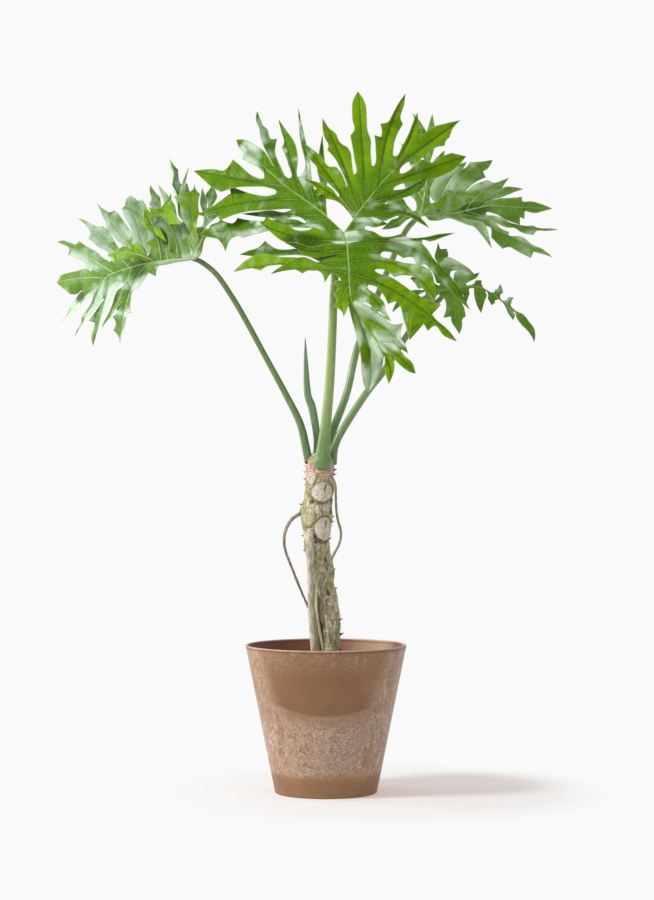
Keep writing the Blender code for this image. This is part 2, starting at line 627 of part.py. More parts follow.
def sinus_between(one, other):
    """Where the cut between two neighbouring lobes ends, unless the table says."""
    if one["sinus"]:
        point = np.array(one["sinus"], float)
        lift = 0.5 * (one["spine"](nearest(one["spine"], point))[2]
                      + other["spine"](nearest(other["spine"], point))[2])
        return (point[0], point[1], lift)
    wanted = 0.8 * (one["half"] + other["half"])
    for t in np.linspace(0.08, 0.5, 30):
        a, b = one["spine"](t), other["spine"](t)
        if np.hypot(*(a - b)[:2]) > wanted:
            break
    middle = (a + b) / 2
    return (middle[0], middle[1], middle[2])


def edge_points(part, teeth, start, side, sinus_gap):
    """The free edge from a sinus to the tip: a neck, then each tooth with its foot and the notch
    behind it, and a taper to the tip. Each point comes with its fraction along the vein."""
    spine = part["spine"]
    length = np.hypot(*(spine(1.0) - spine(0.0))[:2])

    def rolled(t, reach):
        return part["roll"] * side * reach * min((t - start) / 0.25, 1.0)

    def offset(t, reach, lift=0.0):
        here, ahead = spine(t), spine(min(t + 0.02, 1.0)) - spine(max(t - 0.02, 0.0))
        across = np.array([-ahead[1], ahead[0]]) / (np.hypot(ahead[0], ahead[1]) + 1e-9)
        place = here[:2] + across * side * reach
        return (place[0], place[1], here[2] + lift + rolled(t, reach))

    neck = start + max(0.05, 3 / length)
    reach = min(0.7 * part["half"], 0.8 * sinus_gap)
    points = [(neck, offset(neck, reach))]
    spots = sorted(((nearest(spine, tooth), tooth) for tooth in teeth), key=lambda spot: spot[0])
    for number, (t, tooth) in enumerate(spots):
        wave = TOOTH_WAVE * (1 if (number + (side > 0)) % 2 else -1)
        reach = min(np.hypot(*(spine(t)[:2] - np.array(tooth))), 1.3 * part["half"])
        foot = t - max(0.08, 7 / length)
        if foot > points[-1][0] + 0.03:
            points.append((foot, offset(foot, 0.8 * reach)))
        points.append((t, (tooth[0], tooth[1], spine(t)[2] + wave + rolled(t, reach))))
        notch = t + 0.25 * (1 - t) if number + 1 == len(spots) else t + 0.03
        reach = 0.74 * reach
        points.append((notch, offset(notch, reach, -wave / 2)))
    if not spots:
        reach = 0.95 * part["half"]
        middle = start + 0.38 * (1 - start)
        points.append((middle, offset(middle, reach)))
    last = points[-1][0]
    for share in (0.45, 0.8):
        t = last + (1 - last) * share
        points.append((t, offset(t, max(reach * (1 - share) ** 0.85, 1.0))))
    return points


def build_blade(leaf):
    """Meshes every lobe as two strips between its vein and its edge, all sharing their seams."""
    blade = Blade(leaf)
    parts = [dict(part) for part in leaf["lobes"]]
    for number, part in enumerate(parts):
        part["step"] = round(part["root"] * LATTICE_STEPS)
        part["spine"] = spine_of(blade, part)
        part["roll"] = leaf["roll"] + ROLL_SPREAD * math.sin(2.4 * number)
    count = len(parts)
    bare = [round(share * LATTICE_STEPS) for share in leaf.get("bare", ())]
    for number, part in enumerate(parts):
        other = parts[(number + 1) % count]
        same = part["axis"] == other["axis"] and number + 1 < count
        part["following_seam"] = 0
        if bare and number + 1 == count:
            part["seam"], part["following_seam"] = bare[1], bare[0]
        elif not same:
            part["seam"] = 0
        elif LATTICE_STEPS in (part["step"], other["step"]):
            part["seam"] = LATTICE_STEPS
        else:
            part["seam"] = (part["step"] + other["step"]) // 2
        if same:
            part["following_seam"] = part["seam"]
    for number, part in enumerate(parts):
        blade.station(part["axis"], part["seam"])
        blade.station(part["axis"], part["step"])
        blade.station(parts[(number + 1) % count]["axis"], part["following_seam"])
    for number, part in enumerate(parts):
        other = parts[(number + 1) % count]
        if bare and number + 1 == count:
            part["after_web"] = [blade.station(part["axis"], part["seam"])]
            other["before_web"] = [blade.station(other["axis"], part["following_seam"])]
            continue
        if number + 1 < count:
            right, up, lift = sinus_between(part, other)
        else:
            right, up, lift = (*leaf["cleft"], 0)
        seam = blade.station(part["axis"], part["seam"])
        start = np.array(blade.flat[seam])
        web = (start + np.array([right, up, lift])) / 2
        part["after_web"] = [seam, blade.add(web[:2], web[2]), blade.add((right, up), lift)]
        other["before_web"] = [blade.station(other["axis"], part["following_seam"]),
                               *part["after_web"][1:]]
    for number, part in enumerate(parts):
        cell(blade, part, parts[number - 1]["following_seam"])
    untangle(blade)
    return blade


def fan_stations(blade, axis, start, end):
    """Numbers of the axis vertices from one step to another, both included."""
    steps = [0] + sorted(step for name, step in blade.stations if name == axis)
    low, high = sorted((start, end))
    chosen = [step for step in steps if low <= step <= high]
    if start > end:
        chosen.reverse()
    return [blade.station(axis, step) for step in chosen]


def cell(blade, part, before_seam):
    """Adds the faces of one lobe: a strip on either side of its vein."""
    spine = part["spine"]
    ends = [np.array(blade.flat[part[web][-1]][:2]) for web in ("before_web", "after_web")]
    spots = [nearest(spine, end) for end in ends]
    gaps = [max(np.hypot(*(spine(spot)[:2] - end)), part["half"] / 2)
            for spot, end in zip(spots, ends)]
    spots = [min(max(spot, 0.08), 0.6) for spot in spots]
    root = blade.station(part["axis"], part["step"])
    tip = blade.add(part["tip"], part["lift"])
    start = sum(spots) / 2
    shares = [start / 2, start] + [start + (1 - start) * k / VEIN_STEPS
                                   for k in range(1, VEIN_STEPS)]
    middle = [(0.0, root)]
    middle += [(share, blade.add(spine(share)[:2], spine(share)[2])) for share in shares]
    middle.append((1.0, tip))
    for side, web, teeth, seam, spot, gap in (
            (1, part["after_web"], part["after"], part["seam"], spots[1], gaps[1]),
            (-1, part["before_web"], part["before"], before_seam, spots[0], gaps[0])):
        fan = fan_stations(blade, part["axis"], part["step"], seam)
        border = [(0.02 * k * spot, number) for k, number in enumerate(fan)]
        border += [(share * spot, number) for share, number in zip((0.6, 1.0), web[1:])]
        border += [(t, blade.add(point[:2], point[2]))
                   for t, point in edge_points(part, teeth, spot, side, gap)]
        border.append((1.0, tip))
        zip_up(blade, middle, border, side)


def zip_up(blade, middle, border, side):
    """Triangles between a vein and an edge that start and end at the same vertices."""
    i, j = 1, 1
    if border[1][1] == middle[1][1]:
        return
    add_face(blade, (middle[0][1], middle[1][1], border[1][1]), side)
    while i < len(middle) - 2 or j < len(border) - 2:
        if j == len(border) - 2 or (i < len(middle) - 2 and middle[i + 1][0] <= border[j + 1][0]):
            add_face(blade, (middle[i][1], middle[i + 1][1], border[j][1]), side)
            i += 1
        else:
            add_face(blade, (middle[i][1], border[j + 1][1], border[j][1]), side)
            j += 1
    add_face(blade, (middle[i][1], middle[-1][1], border[j][1]), side)


def add_face(blade, corners, side):
    blade.faces.append(corners if side > 0 else tuple(reversed(corners)))


def sheet_normals(places, faces):
    normals = [Vector((0, 0, 0)) for _ in places]
    for face in faces:
        a, b, c = (places[number] for number in face)
        facing = (b - a).cross(c - a)
        for number in face:
            normals[number] += facing
    return [normal.normalized() for normal in normals]


def untangle(blade):
    """Nudges the corners of triangles that are too thin or turned over until none is left."""
    flat = np.array(blade.flat)
    for _ in range(UNTANGLE_PASSES):
        moved = 0
        for a, b, c in blade.faces:
            across, along = flat[b, :2] - flat[a, :2], flat[c, :2] - flat[a, :2]
            area = (across[0] * along[1] - across[1] * along[0]) / 2
            if area >= LEAST_AREA:
                continue
            moved += 1
            slopes = []
            for one, two in ((b, c), (c, a), (a, b)):
                edge = flat[two, :2] - flat[one, :2]
                slopes.append(np.array([-edge[1], edge[0]]) / 2)
            share = (1.05 * LEAST_AREA - area) / sum(slope @ slope for slope in slopes)
            for corner, slope in zip((a, b, c), slopes):
                if corner != blade.joint:
                    flat[corner, :2] += slope * share
        if not moved:
            break
    blade.flat = [tuple(row) for row in flat]


def thicken(name, places, faces, thickness):
    """Closes a sheet into a solid: the same triangles on both faces and a rim between them.
    The faces part along the line of sight, so a sheet that is clean as seen stays clean."""
    eye = Vector((0, -EYE_DISTANCE, EYE_HEIGHT))
    shifts = []
    for place, normal in zip(places, sheet_normals(places, faces)):
        sight = (eye - place).normalized()
        shifts.append(sight * thickness / 2 / max(normal.dot(sight), LEAST_FACING))
    count = len(places)
    solid = [place + shift for place, shift in zip(places, shifts)]
    solid += [place - shift for place, shift in zip(places, shifts)]
    skin = list(faces) + [tuple(number + count for number in reversed(face)) for face in faces]
    directed = {(face[k], face[(k + 1) % 3]) for face in faces for k in range(3)}
    for a, b in sorted(directed):
        if (b, a) not in directed:
            skin.append((b, a, a + count))
            skin.append((b, a + count, b + count))
    return mesh_from(name, [place * MM for place in solid], skin)


def stalk_end(blade_piece, joint, start, radius):
    """Where a petiole from start must stop so that its end just clears the blade at its joint."""
    bm = bmesh.new()
    bm.from_mesh(blade_piece.data)
    skin = BVHTree.FromBMesh(bm)
    bm.free()
    ahead = (joint - start).normalized()
    side = ahead.orthogonal().normalized()
    across = ahead.cross(side)
    rim = [(side * math.cos(angle) + across * math.sin(angle)) * reach
           for reach in (0, radius / 2, radius)
           for angle in (2 * math.pi * step / 24 for step in range(24))]
    back = BLADE_THICKNESS
    while min(skin.find_nearest((joint - ahead * back + spoke) * MM)[3] for spoke in rim) \
            < CLEARANCE * MM:
        back += 0.1
    return joint - ahead * back


def make_leaf_blade(name, leaf):
    """The blade as an object, and the place of its joint in mm."""
    blade = build_blade(leaf)
    places = [blade.place(number) for number in range(len(blade.flat))]
    mesh = thicken(name, places, blade.faces, BLADE_THICKNESS)
    piece = add_object(name, mesh, material(name + "_green", (0.11, 0.33, 0.03), 0.35))
    return piece, places[blade.joint]


def make_stems():
    """Petioles, the furled leaf and the aerial roots, each with the fatter copy that seats it."""
    seats = []
    for name, leaf in LEAVES.items():
        blade, joint = make_leaf_blade(name, leaf)
        stalk_name = name.replace("blade", "petiole")
        stalk = PETIOLES[stalk_name]
        end = stalk_end(blade, joint, seen(*stalk["path"][-1]) / MM, stalk["radii"][-1])
        for grow in (0.0, CLEARANCE):
            mesh = tube(stalk_name, stalk["path"], stalk["radii"], PETIOLE_SIDES, grow=grow,
                        end=end)
            if grow:
                seats.append(mesh)
            else:
                add_object(stalk_name, mesh,
                           material(stalk_name + "_green", (0.17, 0.30, 0.09), 0.45))
    spike = tube("new_leaf_spike", SPIKE_PATH, SPIKE_RADII, PETIOLE_SIDES)
    add_object("new_leaf_spike", spike, material("new_leaf_green", (0.06, 0.17, 0.07), 0.4))
    seats.append(tube("spike_seat", SPIKE_PATH, SPIKE_RADII, PETIOLE_SIDES, grow=CLEARANCE))
    for name, root in ROOTS.items():
        mesh = tube(name, root["path"], root["radii"], ROOT_SIDES, ROOT_STEPS)
        add_object(name, mesh, material(name + "_skin", (0.33, 0.29, 0.20), 0.8))
        seats.append(tube(name + "_seat", root["path"], root["radii"], ROOT_SIDES, ROOT_STEPS,
                          grow=CLEARANCE))
    return seats


def trunk_plug():
    """A slightly fatter copy of the buried end of the trunk, which cuts its hole in the soil."""
    rings = [ring for ring in TRUNK_RINGS if ring[0] < SOIL_TOP + 60]
    path = [(centre, height, 0) for height, centre, _ in rings]
    radii = [radius * 1.08 for _, _, radius in rings]
    return tube("trunk_plug", path, radii, TRUNK_SIDES, steps=1, grow=CLEARANCE + 0.4)


def main():
    for piece in list(bpy.data.objects):
        bpy.data.objects.remove(piece)
    make_pot()
    soil = make_soil()
    make_trunk(make_stems())
    holes = [trunk_plug()]
    for name in ("aerial_root_thick", "aerial_root_slim"):
        root = ROOTS[name]
        holes.append(tube(name + "_hole", root["path"], root["radii"], ROOT_SIDES, ROOT_STEPS,
                          grow=CLEARANCE))
    combine(soil, [cutter(mesh) for mesh in holes], "DIFFERENCE")


main()
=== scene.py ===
import math

import bmesh
import bpy
import numpy as np
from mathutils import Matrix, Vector, noise


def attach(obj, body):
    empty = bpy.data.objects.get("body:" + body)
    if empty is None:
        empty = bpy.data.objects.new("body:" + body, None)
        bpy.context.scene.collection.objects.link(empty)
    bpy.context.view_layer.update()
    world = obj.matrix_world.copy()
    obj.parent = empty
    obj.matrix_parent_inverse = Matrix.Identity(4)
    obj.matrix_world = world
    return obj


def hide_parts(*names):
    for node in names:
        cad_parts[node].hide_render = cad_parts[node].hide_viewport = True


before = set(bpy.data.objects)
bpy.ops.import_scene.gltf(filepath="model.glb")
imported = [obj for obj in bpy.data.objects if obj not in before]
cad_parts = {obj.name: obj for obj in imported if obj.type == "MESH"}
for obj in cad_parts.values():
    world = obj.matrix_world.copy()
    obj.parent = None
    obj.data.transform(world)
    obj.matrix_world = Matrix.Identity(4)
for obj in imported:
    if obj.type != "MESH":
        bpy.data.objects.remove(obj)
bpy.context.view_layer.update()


# Planter. A tapered tub of moulded resin with a rounded foot and a thin half-round lip. Tan and
# pinkish pale resin swirl together in its wall; the front stayed almost plain above mid height.

MM = 0.001
POT_HEIGHT = 257
POT_FOOT_RADIUS = 88.5
POT_RIM_RADIUS = 140
POT_WALL = 5
POT_FLOOR = 8
POT_SIDES = 192
FOOT_EDGE = 3
FOOT_HOLLOW = 1.2
WALL_SLOPE = (POT_RIM_RADIUS - POT_FOOT_RADIUS) / POT_HEIGHT


class Field:
    """What a shader node gives all over a surface. Fields are reckoned with like numbers."""

    def __init__(self, tree, output):
        self.tree, self.output = tree, output

    def made(self, kind, values, output=0, **settings):
        return Field(self.tree, node(self.tree, kind, values, **settings).outputs[output])

    def maths(self, operation, *values):
        return self.made("ShaderNodeMath", dict(enumerate(values)), operation=operation)

    def __add__(self, other):
        return self.maths("ADD", self, other)

    def __sub__(self, other):
        return self.maths("SUBTRACT", self, other)

    def __rsub__(self, other):
        return self.maths("SUBTRACT", other, self)

    def __mul__(self, other):
        return self.maths("MULTIPLY", self, other)

    def __abs__(self):
        return self.maths("ABSOLUTE", self)

    def or_more(self, other):
        """The larger of the two."""
        return self.maths("MAXIMUM", self, other)

    def step(self, low, high):
        """0 below low, 1 above high and smooth between; the other way round if low is above high."""
        return self.made("ShaderNodeMapRange", {0: self, 1: low, 2: high},
                         interpolation_type="SMOOTHSTEP")

    def lines(self, level, wide, thin=0.0):
        """1 along the lines where the field passes a level, and 0 a little away from them."""
        return abs(self - level).step(wide, thin)

    def blend(self, first, second):
        """first where the field is 0 and second where it is 1."""
        return self.made("ShaderNodeMix", {0: self, 6: first, 7: second}, 2, data_type="RGBA")

    def toward(self, other, share):
        """This colour, gone over to another one by a share."""
        return self.made("ShaderNodeMix", {0: share, 6: self, 7: other}, 2, data_type="RGBA")

    def grain(self, scale, detail=3.0, rough=0.5, twist=0.0, output=0):
        """Cloudy noise read at this place."""
        values = {"Vector": self, "Scale": scale, "Detail": detail, "Roughness": rough,
                  "Distortion": twist}
        return self.made("ShaderNodeTexNoise", values, output)

    def moved(self, way):
        return self.made("ShaderNodeVectorMath", {0: self, 1: way}, operation="ADD")

    def scaled(self, size):
        return self.made("ShaderNodeVectorMath", {0: self, "Scale": size}, operation="SCALE")

    def drawn_out(self, share):
        """This place with its height scaled, so that grain read there is drawn out upward."""
        return self.made("ShaderNodeMapping", {"Vector": self, "Scale": (1.0, 1.0, share)})

    def axes(self):
        split = node(self.tree, "ShaderNodeSeparateXYZ", {0: self})
        return [Field(self.tree, output) for output in split.outputs]


def node(tree, kind, values=None, **settings):
    """A shader or geometry node with its settings, and its inputs set to numbers or linked."""
    made = tree.nodes.new(kind)
    for name, value in settings.items():
        setattr(made, name, value)
    for key, value in (values or {}).items():
        if isinstance(value, Field):
            value = value.output
        if isinstance(value, bpy.types.NodeSocket):
            tree.links.new(value, made.inputs[key])
        elif made.inputs[key].type == "RGBA":
            made.inputs[key].default_value = (*value, 1)
        else:
            made.inputs[key].default_value = value
    return made


def new_finish(name, roughness, specular=0.5):
    """A material, its Principled shader and the place on the object."""
    made = bpy.data.materials.new(name)
    made.use_nodes = True
    shader = made.node_tree.nodes["Principled BSDF"]
    shader.inputs["Roughness"].default_value = roughness
    shader.inputs["Specular IOR Level"].default_value = specular
    place = node(made.node_tree, "ShaderNodeTexCoord").outputs["Object"]
    return made, shader, Field(made.node_tree, place)


def paint(shader, colour, height=None, depth=0.001, strength=0.5):
    """Links a colour and, through a Bump node, a height field to the shader."""
    colour.tree.links.new(colour.output, shader.inputs["Base Color"])
    if height:
        bump = height.made("ShaderNodeBump", {"Height": height, "Distance": depth,
                                              "Strength": strength})
        colour.tree.links.new(bump.output, shader.inputs["Normal"])


def linked(name, mesh):
    piece = bpy.data.objects.new(name, mesh)
    bpy.context.scene.collection.objects.link(piece)
    return piece


def mesh_piece(name, places, faces, finish, sharp=None):
    """A smooth-shaded object at the origin from places in metres."""
    mesh = bpy.data.meshes.new(name)
    mesh.from_pydata([tuple(place) for place in places], [], faces)
    mesh.update()
    mesh.shade_smooth()
    if sharp:
        mesh.set_sharp_from_angle(angle=math.radians(sharp))
    mesh.materials.append(finish)
    return linked(name, mesh)


def stand_for(piece, slot, *nodes):
    """Puts the piece on the part's one body, in the place of these solids."""
    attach(piece, "root")
    if nodes:
        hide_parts(*nodes)


def turned(profile, sides):
    """Places and faces of a closed profile of (radius, height) in mm turned about Z."""
    places, rings, faces = [], [], []
    for radius, height in profile:
        count = sides if radius else 1
        rings.append(list(range(len(places), len(places) + count)))
        for j in range(count):
            angle = 2 * math.pi * j / sides
            places.append(Vector((radius * math.cos(angle), radius * math.sin(angle), height)) * MM)
    for low, high in zip(rings, rings[1:]):
        for j in range(sides):
            k = (j + 1) % sides
            if len(low) == 1:
                faces.append((low[0], high[k], high[j]))
            elif len(high) == 1:
                faces.append((low[j], low[k], high[0]))
            else:
                faces.append((low[j], low[k], high[k], high[j]))
    return places, faces


def pot_radius(height):
    return POT_FOOT_RADIUS + WALL_SLOPE * height


def arc(radius, height, size, angles):
    """Rounded part of a profile: size from a middle point at these angles."""
    return [(radius + size * math.cos(angle), height + size * math.sin(angle)) for angle in angles]


def resin():
    made, shader, where = new_finish("marbled_resin", 0.42, 0.4)
    right, back, height = where.axes()
    warp = where.grain(15.0, 4.0, 0.6, output="Color").moved((-0.5, -0.5, -0.5))
    swirl = where.moved(warp.scaled(0.07))
    wide = swirl.grain(42.0, 2.6, 0.6, 2.0)
    fine = swirl.grain(80.0, 2.6, 0.6, 3.0)
    threads, hairs = wide.lines(0.5, 0.035), fine.lines(0.5, 0.05)
    drips = swirl.drawn_out(0.28).grain(62.0, 4.0, 0.6, 0.8).lines(0.5, 0.05)
    # the plain part: the front above a line that rises to both sides, and the far left edge
    across, depth, _ = where.moved(warp.scaled(0.03)).axes()
    across = across + 0.004
    lean = (height - 0.17) * 0.30
    beyond = (across * -1.0 - lean).step(0.100, 0.112) * height.step(0.13, 0.17)
    side = (abs(across) - lean).step(0.070, 0.098) * (1.0 - beyond * 0.75)
    line = height - right * right * 2.4
    pale_part = side.or_more(line.step(0.1465, 0.1405)).or_more(depth.step(-0.045, -0.01))
    foot = height.step(0.032, 0.046)
    cloud = where.grain(9.0, 3.0, 0.6, 0.5).step(0.42, 0.6)
    amount = (height.step(0.225, 0.12) * 0.9).or_more(cloud) * (pale_part * line.step(0.146, 0.112))
    amount = (amount * foot).or_more(side * foot * 0.75).or_more(height.step(0.205, 0.240) * 0.30)
    # tan and pinkish resin, then pale veins and darker squiggles where they have mixed
    tan = swirl.grain(6.0).step(0.35, 0.65).blend((0.228, 0.108, 0.043), (0.315, 0.168, 0.077))
    pinkish = wide.step(0.3, 0.75).blend((0.275, 0.158, 0.092), (0.375, 0.250, 0.165))
    upper_side = side * height.step(0.12, 0.19)
    colour = (pale_part * foot * (0.8 - upper_side * 0.5)).blend(tan, pinkish)
    veins = (side * 0.7).blend(threads.or_more(hairs * 0.8), drips)
    colour = colour.toward((0.60, 0.46, 0.37), veins * (amount * 0.9))
    squiggle = fine.lines(0.60, 0.035, 0.005)
    colour = colour.toward((0.235, 0.095, 0.032), squiggle * (amount * 0.8))
    edge = line.step(0.142, 0.147) * line.step(0.185, 0.147) * (1.0 - pale_part)
    colour = colour.toward((0.16, 0.070, 0.030), edge * 0.35)
    colour = colour.toward((0.50, 0.32, 0.21), threads * ((1.0 - foot) * 0.3))
    colour = colour.toward((0.17, 0.075, 0.034), height.step(0.040, 0.020) * 0.35)
    # the inner wall is redder; painted shade makes it plain and dark at the left, and painted light pales
    # its marbling at the right
    level = where.made("ShaderNodeCombineXYZ", {0: right, 1: back})
    radius = level.made("ShaderNodeVectorMath", {0: level}, "Value", operation="LENGTH")
    outer_wall = POT_FOOT_RADIUS * MM
    inside = (radius - height * WALL_SLOPE).step(outer_wall - 0.0024, outer_wall - 0.0034)
    inner = right.step(0.0, 0.09).blend((0.235, 0.095, 0.048), colour.toward((0.47, 0.27, 0.17), 0.4))
    colour = colour.toward(inner, inside)
    # painted shade in a dark band just under the lip, and a painted highlight along the top of the lip
    shade_under_lip = height.step(0.2500, 0.2530) * height.step(0.2555, 0.2535)
    colour = colour.toward((0.15, 0.05, 0.026), shade_under_lip * 0.6)
    colour = colour.toward((0.58, 0.37, 0.27), height.step(0.2545, 0.2565) * 0.7)
    paint(shader, colour, where.grain(260.0, 2.0), 0.0004, 0.12)
    return made


half_lip = POT_WALL / 2
pot_profile = [(0, FOOT_HOLLOW), (POT_FOOT_RADIUS - 16, FOOT_HOLLOW),
               (POT_FOOT_RADIUS - 14, FOOT_HOLLOW / 3), (POT_FOOT_RADIUS - 12, 0),
               (POT_FOOT_RADIUS - FOOT_EDGE, 0)]
pot_profile += arc(pot_radius(FOOT_EDGE) - FOOT_EDGE, FOOT_EDGE, FOOT_EDGE,
                   [math.pi * k / 12 for k in range(-5, 1)])
pot_profile += [(pot_radius(height), height) for height in (30, 80, 130, 180, 220, 244)]
pot_profile += arc(POT_RIM_RADIUS - half_lip, POT_HEIGHT - half_lip, half_lip,
                   [math.pi * k / 10 for k in range(11)])
pot_profile += [(pot_radius(height) - POT_WALL, height) for height in (236, 150, 60)]
pot_profile += [(pot_radius(POT_FLOOR) - POT_WALL + 1, POT_FLOOR + 6),
                (pot_radius(POT_FLOOR) - POT_WALL - 6, POT_FLOOR), (0, POT_FLOOR)]
pot = mesh_piece("planter", *turned(pot_profile, POT_SIDES), resin(), 35)
stand_for(pot, "planter_resin", "pot")


# Potting soil. Dark, loose and a little uneven, filling the pot to 35 mm below its lip, with bits
# of bark and pale grit lying on it. The bits are strewn over the top face.

SOIL_TOP = 222
SOIL_LUMPS = 2.5
SOIL_BASE = POT_FLOOR + 0.4
SOIL_SIDES = 120
LUMPY_RADIUS = 0.125
STREWN_RADIUS = 0.118


def earth(name, dark, pale):
    made, shader, where = new_finish(name, 0.95, 0.2)
    clods = where.grain(120.0, 6.0, 0.7)
    paint(shader, clods.step(0.35, 0.7).blend(dark, pale), clods, 0.004, 0.9)
    return made


def field_tree(name, numbers):
    """An empty Geometry Nodes tree with a mesh input, these number inputs and a mesh output."""
    tree = bpy.data.node_groups.new(name, "GeometryNodeTree")
    face = tree.interface
    face.new_socket(name="Mesh", in_out="INPUT", socket_type="NodeSocketGeometry")
    for label, value in numbers.items():
        kind = "NodeSocketInt" if isinstance(value, int) else "NodeSocketFloat"
        face.new_socket(name=label, in_out="INPUT", socket_type=kind).default_value = value
    face.new_socket(name="Mesh", in_out="OUTPUT", socket_type="NodeSocketGeometry")
    return tree, node(tree, "NodeGroupInput").outputs, node(tree, "NodeGroupOutput")


def finish_tree(tree, instances, finish, output):
    real = node(tree, "GeometryNodeRealizeInstances", {0: instances.outputs[0]})
    painted = node(tree, "GeometryNodeSetMaterial", {"Geometry": real.outputs[0],
                                                     "Material": finish})
    tree.links.new(painted.outputs[0], output.inputs[0])
    return tree


def grown_piece(name, carrier, tree, numbers, finish):
    """The plain mesh that a tree makes on a carrier mesh, as its own object."""
    change = carrier.modifiers.new(name, "NODES")
    change.node_group = tree
    for item in tree.interface.items_tree:
        if item.in_out == "INPUT" and item.name in numbers:
            change[item.identifier] = numbers[item.name]
    bpy.context.view_layer.update()
    grown = carrier.evaluated_get(bpy.context.evaluated_depsgraph_get())
    mesh = bpy.data.meshes.new_from_object(grown)
    carrier.modifiers.remove(change)
    mesh.name = name
    mesh.materials.clear()
    mesh.materials.append(finish)
    return linked(name, mesh)


def strewn(finish):
    """Small tumbled blocks scattered over the faces of a mesh."""
    numbers = {"Density": 1000.0, "Length": 0.006, "Width": 0.003, "Seed": 3}
    tree, given, output = field_tree("strewn_bits", numbers)
    spots = node(tree, "GeometryNodeDistributePointsOnFaces",
                 {name: given[name] for name in ("Mesh", "Density", "Seed")})
    size = node(tree, "ShaderNodeCombineXYZ", {0: given["Length"], 1: given["Width"],
                                               2: given["Width"]})
    block = node(tree, "GeometryNodeMeshCube", {"Size": size.outputs[0]})
    turn, scale = (node(tree, "FunctionNodeRandomValue", {0: low, 1: high, "Seed": given["Seed"]},
                        data_type="FLOAT_VECTOR").outputs[0]
                   for low, high in (((-0.7, -0.7, -3.14), (0.7, 0.7, 3.14)),
                                     ((0.4, 0.5, 0.25), (1.25, 1.2, 0.7))))
    placed = node(tree, "GeometryNodeInstanceOnPoints",
                  {"Points": spots.outputs[0], "Instance": block.outputs[0], "Rotation": turn,
                   "Scale": scale})
    return finish_tree(tree, placed, finish, output)


soil_profile = [(0, SOIL_BASE), (pot_radius(POT_FLOOR) - POT_WALL - 7, SOIL_BASE),
                (pot_radius(16) - POT_WALL - 2, 16), (pot_radius(SOIL_TOP) - POT_WALL - 0.8, SOIL_TOP)]
soil_profile += [(radius, SOIL_TOP) for radius in range(124, 3, -6)] + [(0, SOIL_TOP)]
soil_places, soil_faces = turned(soil_profile, SOIL_SIDES)
for place in soil_places:
    if place.z > (SOIL_TOP - 1) * MM and math.hypot(place.x, place.y) < LUMPY_RADIUS:
        place.z += SOIL_LUMPS * (noise.noise(place * 45) + 0.5 * noise.noise(place * 160)) * MM
soil = mesh_piece("potting_soil", soil_places, soil_faces,
                  earth("soil", (0.022, 0.013, 0.008), (0.075, 0.047, 0.03)), 60)
stand_for(soil, "potting_soil", "soil")
top = bmesh.new()
top.from_mesh(soil.data)
buried = [face for face in top.faces
          if face.calc_center_median().z < (SOIL_TOP - 4) * MM or face.normal.z < 0.5
          or face.calc_center_median().to_2d().length > STREWN_RADIUS]
bmesh.ops.delete(top, geom=buried, context="FACES")
strewn_on = mesh_piece("soil_face", [], [], soil.data.materials[0])
top.to_mesh(strewn_on.data)
top.free()
bark_bits = earth("bark_bits", (0.05, 0.026, 0.014), (0.17, 0.095, 0.05))
grit_bits = earth("grit", (0.10, 0.085, 0.07), (0.33, 0.30, 0.26))
for label, finish, density, long, wide, seed in (("bark_chips", bark_bits, 9000.0, 0.009, 0.0042, 5),
                                                 ("soil_grit", grit_bits, 26000.0, 0.0026, 0.0018, 8)):
    numbers = {"Density": density, "Length": long, "Width": wide, "Seed": seed}
    stand_for(grown_piece(label, strewn_on, strewn(finish), numbers, finish), "potting_soil")
bpy.data.objects.remove(strewn_on)


# Trunk. A short woody stem, grey-beige with an olive bloom, ringed with ridges and with the pale
# oval scars of fallen leaves; the crown above is pinkish and folded. Small dark thorns stand on it.

# height, how far right of the pot's middle, and radius
TRUNK_RINGS = (
    (135, 4, 9), (165, 6, 14), (200, 9, 19), (222, 10, 18.5), (245, 10, 16.5), (268, 10, 15),
    (290, 9, 15), (308, 8, 15.5), (330, 6, 15), (348, 2, 16), (366, -3, 17), (384, -6, 20),
    (404, -11, 22), (424, -15, 21.5), (442, -16, 22.5), (460, -16, 25), (482, -16, 27.5),
    (500, -16, 26), (514, -13, 24.5), (530, -12, 25), (545, -12, 23), (560, -10, 24.5),
    (572, -10, 23), (582, -10, 19), (590, -10, 12),
)
# height, degrees round from the front, width, height of the oval, and how fresh it is
LEAF_SCARS = (
    (523, 17, 37, 34, 1.0), (459, 31, 33, 41, 1.0), (486, -36, 28, 43, 0.25),
    (547, -38, 18, 22, 0.7), (497, 104, 30, 27, 0.5), (432, -118, 30, 28, 0.4),
    (540, 168, 33, 29, 0.9), (468, 158, 32, 30, 0.7), (410, 74, 24, 22, 0.2),
    (384, -29, 10, 9, 0.6), (395, 178, 30, 27, 0.4), (520, -126, 28, 26, 0.5),
    (344, 128, 20, 22, 0.3),
)
# height, degrees round from the front, and how far it stands out
THORNS = (
    (556, -100, 5), (544, -84, 5), (560, 70, 6), (552, 84, 6), (540, 92, 5), (500, -80, 5),
    (479, 84, 5), (470, 78, 5), (462, 98, 4), (445, -88, 5), (441, 80, 5), (420, -86, 4),
    (387, 84, 5), (354, 86, 5), (300, 84, 6), (274, 96, 8), (556, 130, 5), (500, 150, 5),
    (440, -150, 5), (530, 190, 5), (372, -140, 5), (412, 140, 4), (573, -70, 6), (566, -92, 5),
    (570, 88, 5), (534, -96, 4), (488, 60, 4), (432, 100, 4), (400, -100, 4), (330, -95, 4),
)
